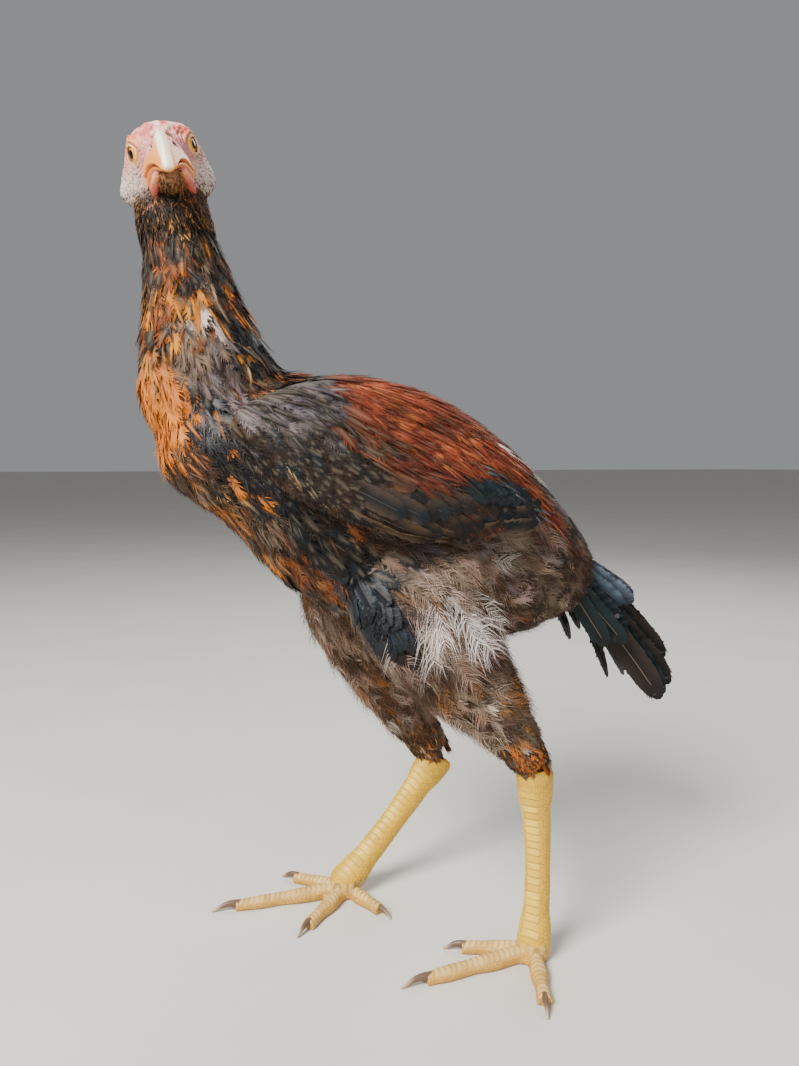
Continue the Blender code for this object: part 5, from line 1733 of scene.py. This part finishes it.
def toe_rows(side, toe):
    start, end = toe_ends(side, toe)
    root, tip = TOES[side][toe][2:4]
    rows = []
    for share in np.linspace(0, 1, 15):
        half = (root + (tip - root) * share) * (
            1 + 0.13 * math.cos(share * math.pi * (5 if toe == 3 else 4))
        )
        high = TOE_HEIGHT * (1.18 - 0.42 * share) + (0.5 if toe == 1 else 0)
        centre = start * (1 - share) + end * share + [0, 0, 0.46 * high]
        rows.append([*centre, half, 0.54 * high, 0.62 * high])
    return rows


def web_piece(side, toes):
    (root, first_tip), (_, second_tip) = toe_ends(side, toes[0]), toe_ends(side, toes[1])
    first, second = unit(first_tip - root), unit(second_tip - root)
    half_angle = 0.5 * math.acos(float(first @ second))
    apart = 0.5 * sum(TOES[side][toe][2] for toe in toes) / math.sin(half_angle)
    middle = unit(first + second)
    outline = np.array([
        root, root + first * (apart + 9), root + middle * (apart * math.cos(half_angle) + 3.5),
        root + second * (apart + 9),
    ])
    points = np.concatenate([outline + [0, 0, 1.3], outline + [0, 0, 4.2]])
    faces = [(0, 1, 2), (0, 2, 3), (6, 5, 4), (7, 6, 4)]
    for i in range(4):
        j = (i + 1) % 4
        faces += [(i, 4 + i, 4 + j), (i, 4 + j, j)]
    piece = mesh_piece("web", points, faces)
    face_out(piece)
    return piece


def toe_rise(points, side, toe):
    """How far the scales of a toe lift its surface, a joint's depth, and a number for each scale."""
    start, end = toe_ends(side, toe)
    way = unit(end - start)
    cross = np.cross([0, 0, 1.0], way)
    root, tip = TOES[side][toe][2:4]
    away = points - start
    along, across = away @ way, away @ cross
    length = np.linalg.norm(end - start)
    half = root + (tip - root) * np.clip(along / length, 0, 1)
    high = TOE_HEIGHT * (1.18 - 0.42 * np.clip(along / length, 0, 1))
    angle = np.arctan2(across / half, (points[:, 2] - 0.46 * high) / (0.54 * high))
    joint, share, number = plates(along, across, 3.5, half)
    top = smooth(np.abs(angle), 1.15, 0.95)
    edge, cell = cells(along, angle * half + 40 * toe, 1.9, toe * 1.7 + side)
    under = smooth(points[:, 2], 2.6, 1.2)
    rise = top * (0.50 * share - 0.45 * hump((joint, 0, 0.34)))
    rise += (1 - top) * (0.22 * smooth(edge, 0, 0.7) + 0.25 * under * smooth(edge, 0, 0.9))
    # The sides of the top plates end in a step.
    rise -= 0.35 * hump((np.abs(angle), 1.05, 0.10))
    groove = np.maximum(top * hump((joint, 0, 0.45)), (1 - top) * hump((edge, 0, 0.3)))
    off = np.hypot(across / half, np.minimum(0, along) / root + np.maximum(0, along - length) / tip)
    return rise, groove, number * top + cell * (1 - top), off, top


def shank_rise(points, side):
    top, foot = place(*HOCK[side]), place(*FOOT[side], ANKLE_HEIGHT)
    way = unit(foot - top)
    length = np.linalg.norm(foot - top)
    along = (points - top) @ way
    share = np.clip(along / length, 0, 1)
    middle = top + way * along[:, None] + np.stack(
        [0 * share, SHANK_BOW * np.sin(math.pi * share), 0 * share], 1
    )
    across = unit(np.array([1, 0, 0]) - way * way[0])
    ahead = np.cross(way, across)
    x, y = (points - middle) @ across, (points - middle) @ ahead
    angle = np.arctan2(x, y)
    reach = np.hypot(x, y)
    # Two columns of front plates, half a step apart, meet on a wavy line.
    seam = 0.10 * np.sin(along * 2 * math.pi / 4.6)
    column = angle * side > seam
    where = np.where(column, 1, -1)
    centre = where * side * 0.60
    off = (angle - centre) * reach
    joint, part, number = plates(along, off, 4.6, 5.0, 0.5 * column)
    joint = np.minimum(joint, np.abs(angle * side - seam) * reach)
    front = smooth(np.abs(angle), 1.28, 1.16)
    back = smooth(np.abs(angle), 2.35, 2.55)
    joint_back, part_back, number_back = plates(along, (np.abs(angle) - math.pi) * reach, 4.2, 5.0)
    edge, cell = cells(along, angle * 8.0, 2.5, 3.1 * side)
    fine = smooth(share, 0.16, 0.06) + smooth(share, 0.93, 0.99)
    small, small_cell = cells(along, angle * 9.0, 1.9, 5.2 * side)
    front, back = front * (1 - fine), back * (1 - fine)
    mid = np.clip(1 - front - back, 0, 1)
    edge = np.where(fine > 0.5, small, edge)
    cell = np.where(fine > 0.5, small_cell, cell)
    rise = front * (0.55 * part - 0.40 * hump((joint, 0, 0.34)))
    rise += back * (0.45 * part_back - 0.35 * hump((joint_back, 0, 0.34)))
    rise += mid * 0.30 * smooth(edge, 0, 0.9)
    rise -= 0.30 * hump(((np.abs(angle) - 1.22) * reach, 0, 0.45)) * (1 - fine)
    groove = front * hump((joint, 0, 0.45)) + back * hump((joint_back, 0, 0.45))
    groove += mid * hump((edge, 0, 0.35))
    return rise, groove, front * number + back * number_back + mid * cell, front, share


def make_leg(side):
    name = SIDE_NAME[side]
    pieces = [form_piece("leg", Tube(shank_rows(side)), 90, 40)]
    for toe in TOES[side]:
        start, end = toe_ends(side, toe)
        form = Tube(toe_rows(side, toe), across=np.cross([0, 0, 1.0], unit(end - start)),
                    upward=(0, 0, 1))
        pieces.append(form_piece("toe", form, 50, 32))
    pieces += [web_piece(side, pair) for pair in ((2, 3), (3, 4))]
    leg = merged(f"{name}_leg_skin", pieces, 0.55, 2)
    points, facing = points_of(leg)
    rise, groove, number, front, share = shank_rise(points, side)
    # The front plates are paler, partly in their own tone and partly as a painted highlight where
    # light falls on the front of the shank.
    colour = layered(
        "#cfa012", ("#dfc04a", front * (0.15 + 0.45 * number)),
        ("#b98e20", smooth(share, 0.25, 0.0) * 0.4),
    )
    best = np.full(len(points), 1e9)
    flat = np.zeros(len(points), bool)
    low = points[:, 2] < 13.0 * smooth(
        np.linalg.norm(points[:, :2] - ball_of_foot(side)[:2], axis=1), 4, 11
    )
    for toe in TOES[side]:
        t_rise, t_groove, t_number, off, top = toe_rise(points, side, toe)
        mine = low & (off < best) & (off < 1.6)
        best = np.where(mine, off, best)
        rise, groove = np.where(mine, t_rise, rise), np.where(mine, t_groove, groove)
        number = np.where(mine, t_number, number)
        # The toes' top plates are paler, partly in their own tone and partly as a painted highlight
        # on the tops of the toes.
        toes = blend("#c6963c", "#d9bb78", top * (0.2 + 0.6 * t_number))
        colour = np.where(mine[:, None], toes, colour)
        flat |= mine
    colour[:, :3] *= (0.90 + 0.22 * number)[:, None]
    dirt = np.where(flat, 0.60, 0.40) * np.clip(groove, 0, 1)
    colour = blend(colour, "#5a3f1f", dirt)
    colour = blend(colour, "#7d6a52", 0.45 * smooth(points[:, 2], 2.5, 0.2))
    moved = points + facing * np.maximum(rise, -0.5)[:, None]
    moved[:, 2] = np.maximum(moved[:, 2], 0.02)
    put_points(leg, moved)
    colour_points(leg, np.clip(colour, DARKEST, PALEST))
    leg.data.materials.append(LEG)
    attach(leg, "root")
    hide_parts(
        f"{name}_shank", *(f"{name}_toe_{n}" for n in TOES[side]), f"{name}_web_23",
        f"{name}_web_34",
    )


def make_claws(side):
    name = SIDE_NAME[side]
    for toe, (_, _, _, tip_half, reach) in TOES[side].items():
        start, end = toe_ends(side, toe)
        way = unit(end - start)
        rows = []
        for share in np.linspace(0, 1, 12):
            go = -2.5 + (reach + 2.5) * share
            high = 3.9 + 1.2 * math.sin(math.pi * min(1.0, share * 1.2)) - 2.9 * share**2
            half = tip_half * 0.62 * (1 - share) ** 0.7 + 0.35
            rows.append([*(end + way * go + [0, 0, high]), half * 0.8, half, half])
        claw = form_piece(
            f"{name}_claw_{toe}_horn", Tube(rows, across=np.cross([0, 0, 1.0], way)), 44, 28
        )
        points, facing = points_of(claw)
        points = points + facing * (0.06 * grain(points, 1.0, toe, 2))[:, None]
        points[:, 2] = np.maximum(points[:, 2], 0.05)
        put_points(claw, points)
        along = (points - end) @ way / reach
        colour_points(claw, blend("#5c4330", "#ab9272", smooth(along, 0.45, 1.0)))
        claw.data.materials.append(CLAW)
        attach(claw, "root")
        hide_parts(f"{name}_claw_{toe}")


def make_face_coat(tree):
    """Tiny feathers on the cheeks, the throat and behind the ears."""
    coat = Coat("face_feathers", head, tree, -1)
    steep, swept = 0.35 * DOWN + 0.9 * DOWN, 0.35 * DOWN - 0.3 * HEAD_FORWARD

    def within(test):
        """Keeps roots by a test of their places forward, to either side and up on the head."""

        def keep(b, _):
            f, left, u = head_view(b)
            return test(f, np.abs(left), u)

        return keep

    for part, spacing, sizes, shapes, seed, pull, test in (
        ("cheek", 0.82, (1.9, 0.62, 0.3, 0.35), HAIRY, 0, swept,
         lambda f, s, u: (s > 9) & (u < -4) & (u > -19) & (f < 8) & (f > -24)),
        ("jowl", 0.9, (2.6, 0.75, 0.3, 0.5), HAIRY, 5, swept,
         lambda f, s, u: (s > 7) & (u < -17 + rng.uniform(-2, 2, len(u))) & (f < 10) & (f > -24)),
        ("throat", 0.95, (2.4, 0.8, 0.3, 0.35), HAIRY, 1, steep,
         lambda f, s, u: (s < 7.2 - 0.12 * (f - 8)) & (u < -10.8) & (f < 27)),
        ("ear", 1.3, (4.5, 1.2, 0.4, 0.8), HAIRY, 2, swept,
         lambda f, s, u: (f < -9) & (f > -20) & (u < 1) & (u > -12) & (s > 12)),
        ("chin", 1.1, (4.0, 1.0, 0.4, 1.0), HAIRY, 4, steep,
         lambda f, s, u: (u < -22 + rng.uniform(-2, 2, len(u))) & (f > -12) & (f < 14)),
        ("collar", 1.6, (6.0, 1.8, 1.0, 0.6), NARROW, 3, swept,
         lambda f, s, u: (f < -22) | ((u < -24) & (f < 2))),
    ):
        tract(
            coat, part, spacing, sizes, shapes, pull, keep=within(test), allow=14.0, seed=seed,
            clump=3.0, spread=0.35, roll=0.4, stations=4,
        )
    return coat


# The bird.

skin = make_skin()
for side in (1, -1):
    make_eye(side)
    make_leg(side)
    make_claws(side)
make_beak()
make_face_coat(tree_of(skin)).finish(FEATHER, "body_coat")
make_neck_coat().finish(FEATHER, "body_coat")
make_breast_coat().finish(FEATHER, "body_coat")
make_belly_coat().finish(FEATHER, "body_coat")
make_back_coat().finish(FEATHER, "body_coat")
for side in (1, -1):
    thigh_coat = make_thigh_coat(side).finish(FEATHER, "leg_coat")
    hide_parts(f"{SIDE_NAME[side]}_thigh")
    wing_coat = make_wing_coat(side).finish(FEATHER, "wing_coat")
    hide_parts(f"{SIDE_NAME[side]}_wing")
tail_coat = make_tail_coat().finish(FEATHER, "tail_feathers")
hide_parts("tail")


# Floor, light and camera.


def make_floor():
    bpy.ops.mesh.primitive_plane_add(size=60.0, location=(0, 0, 0))
    floor = bpy.context.object
    floor.name = "floor"
    made, tree, shader = new_material("studio_floor")
    where = add_node(tree, "ShaderNodeTexCoord")
    mottle = add_node(
        tree, "ShaderNodeTexNoise", Vector=where.outputs["Object"], Scale=9.0, Detail=4.0
    )
    ramp = add_node(tree, "ShaderNodeValToRGB", Fac=mottle.outputs["Fac"])
    ramp.color_ramp.elements[0].color = (*linear("#c6c2ba"), 1)
    ramp.color_ramp.elements[1].color = (*linear("#d2cfc8"), 1)
    tree.links.new(ramp.outputs["Color"], shader.inputs["Base Color"])
    shader.inputs["Roughness"].default_value = 0.85
    floor.data.materials.append(made)


def area_light(name, where, aim, size, watts, colour=(1, 1, 1)):
    light = bpy.data.lights.new(name, "AREA")
    light.shape = "DISK"
    light.size = size
    light.energy = watts
    light.color = colour
    lamp = bpy.data.objects.new(name, light)
    bpy.context.scene.collection.objects.link(lamp)
    lamp.location = where
    lamp.rotation_euler = (Vector(aim) - Vector(where)).to_track_quat("-Z", "Y").to_euler()


def make_stage():
    make_floor()
    aim = (0.0, 0.0, 0.28)
    area_light("key", (0.75, -1.30, 1.45), aim, 0.9, 105, (1.0, 0.97, 0.92))
    area_light("fill", (1.5, 0.6, 0.8), aim, 1.6, 12, (0.93, 0.96, 1.0))
    area_light("rim", (-0.8, 0.9, 1.4), aim, 1.0, 16)
    world = bpy.data.worlds.new("studio")
    world.use_nodes = True
    world.node_tree.nodes["Background"].inputs["Color"].default_value = (0.86, 0.88, 0.90, 1)
    world.node_tree.nodes["Background"].inputs["Strength"].default_value = 0.32
    bpy.context.scene.world = world
    view = bpy.data.cameras.new("camera")
    view.sensor_fit, view.sensor_height, view.lens, view.clip_start = "VERTICAL", 36, 27.0, 0.01
    camera = bpy.data.objects.new("camera", view)
    camera.location = (0.4480, -0.2014, 0.300)
    camera.rotation_euler = (math.radians(85), 0, math.radians(68))
    bpy.context.scene.collection.objects.link(camera)
    bpy.context.scene.camera = camera


make_stage()
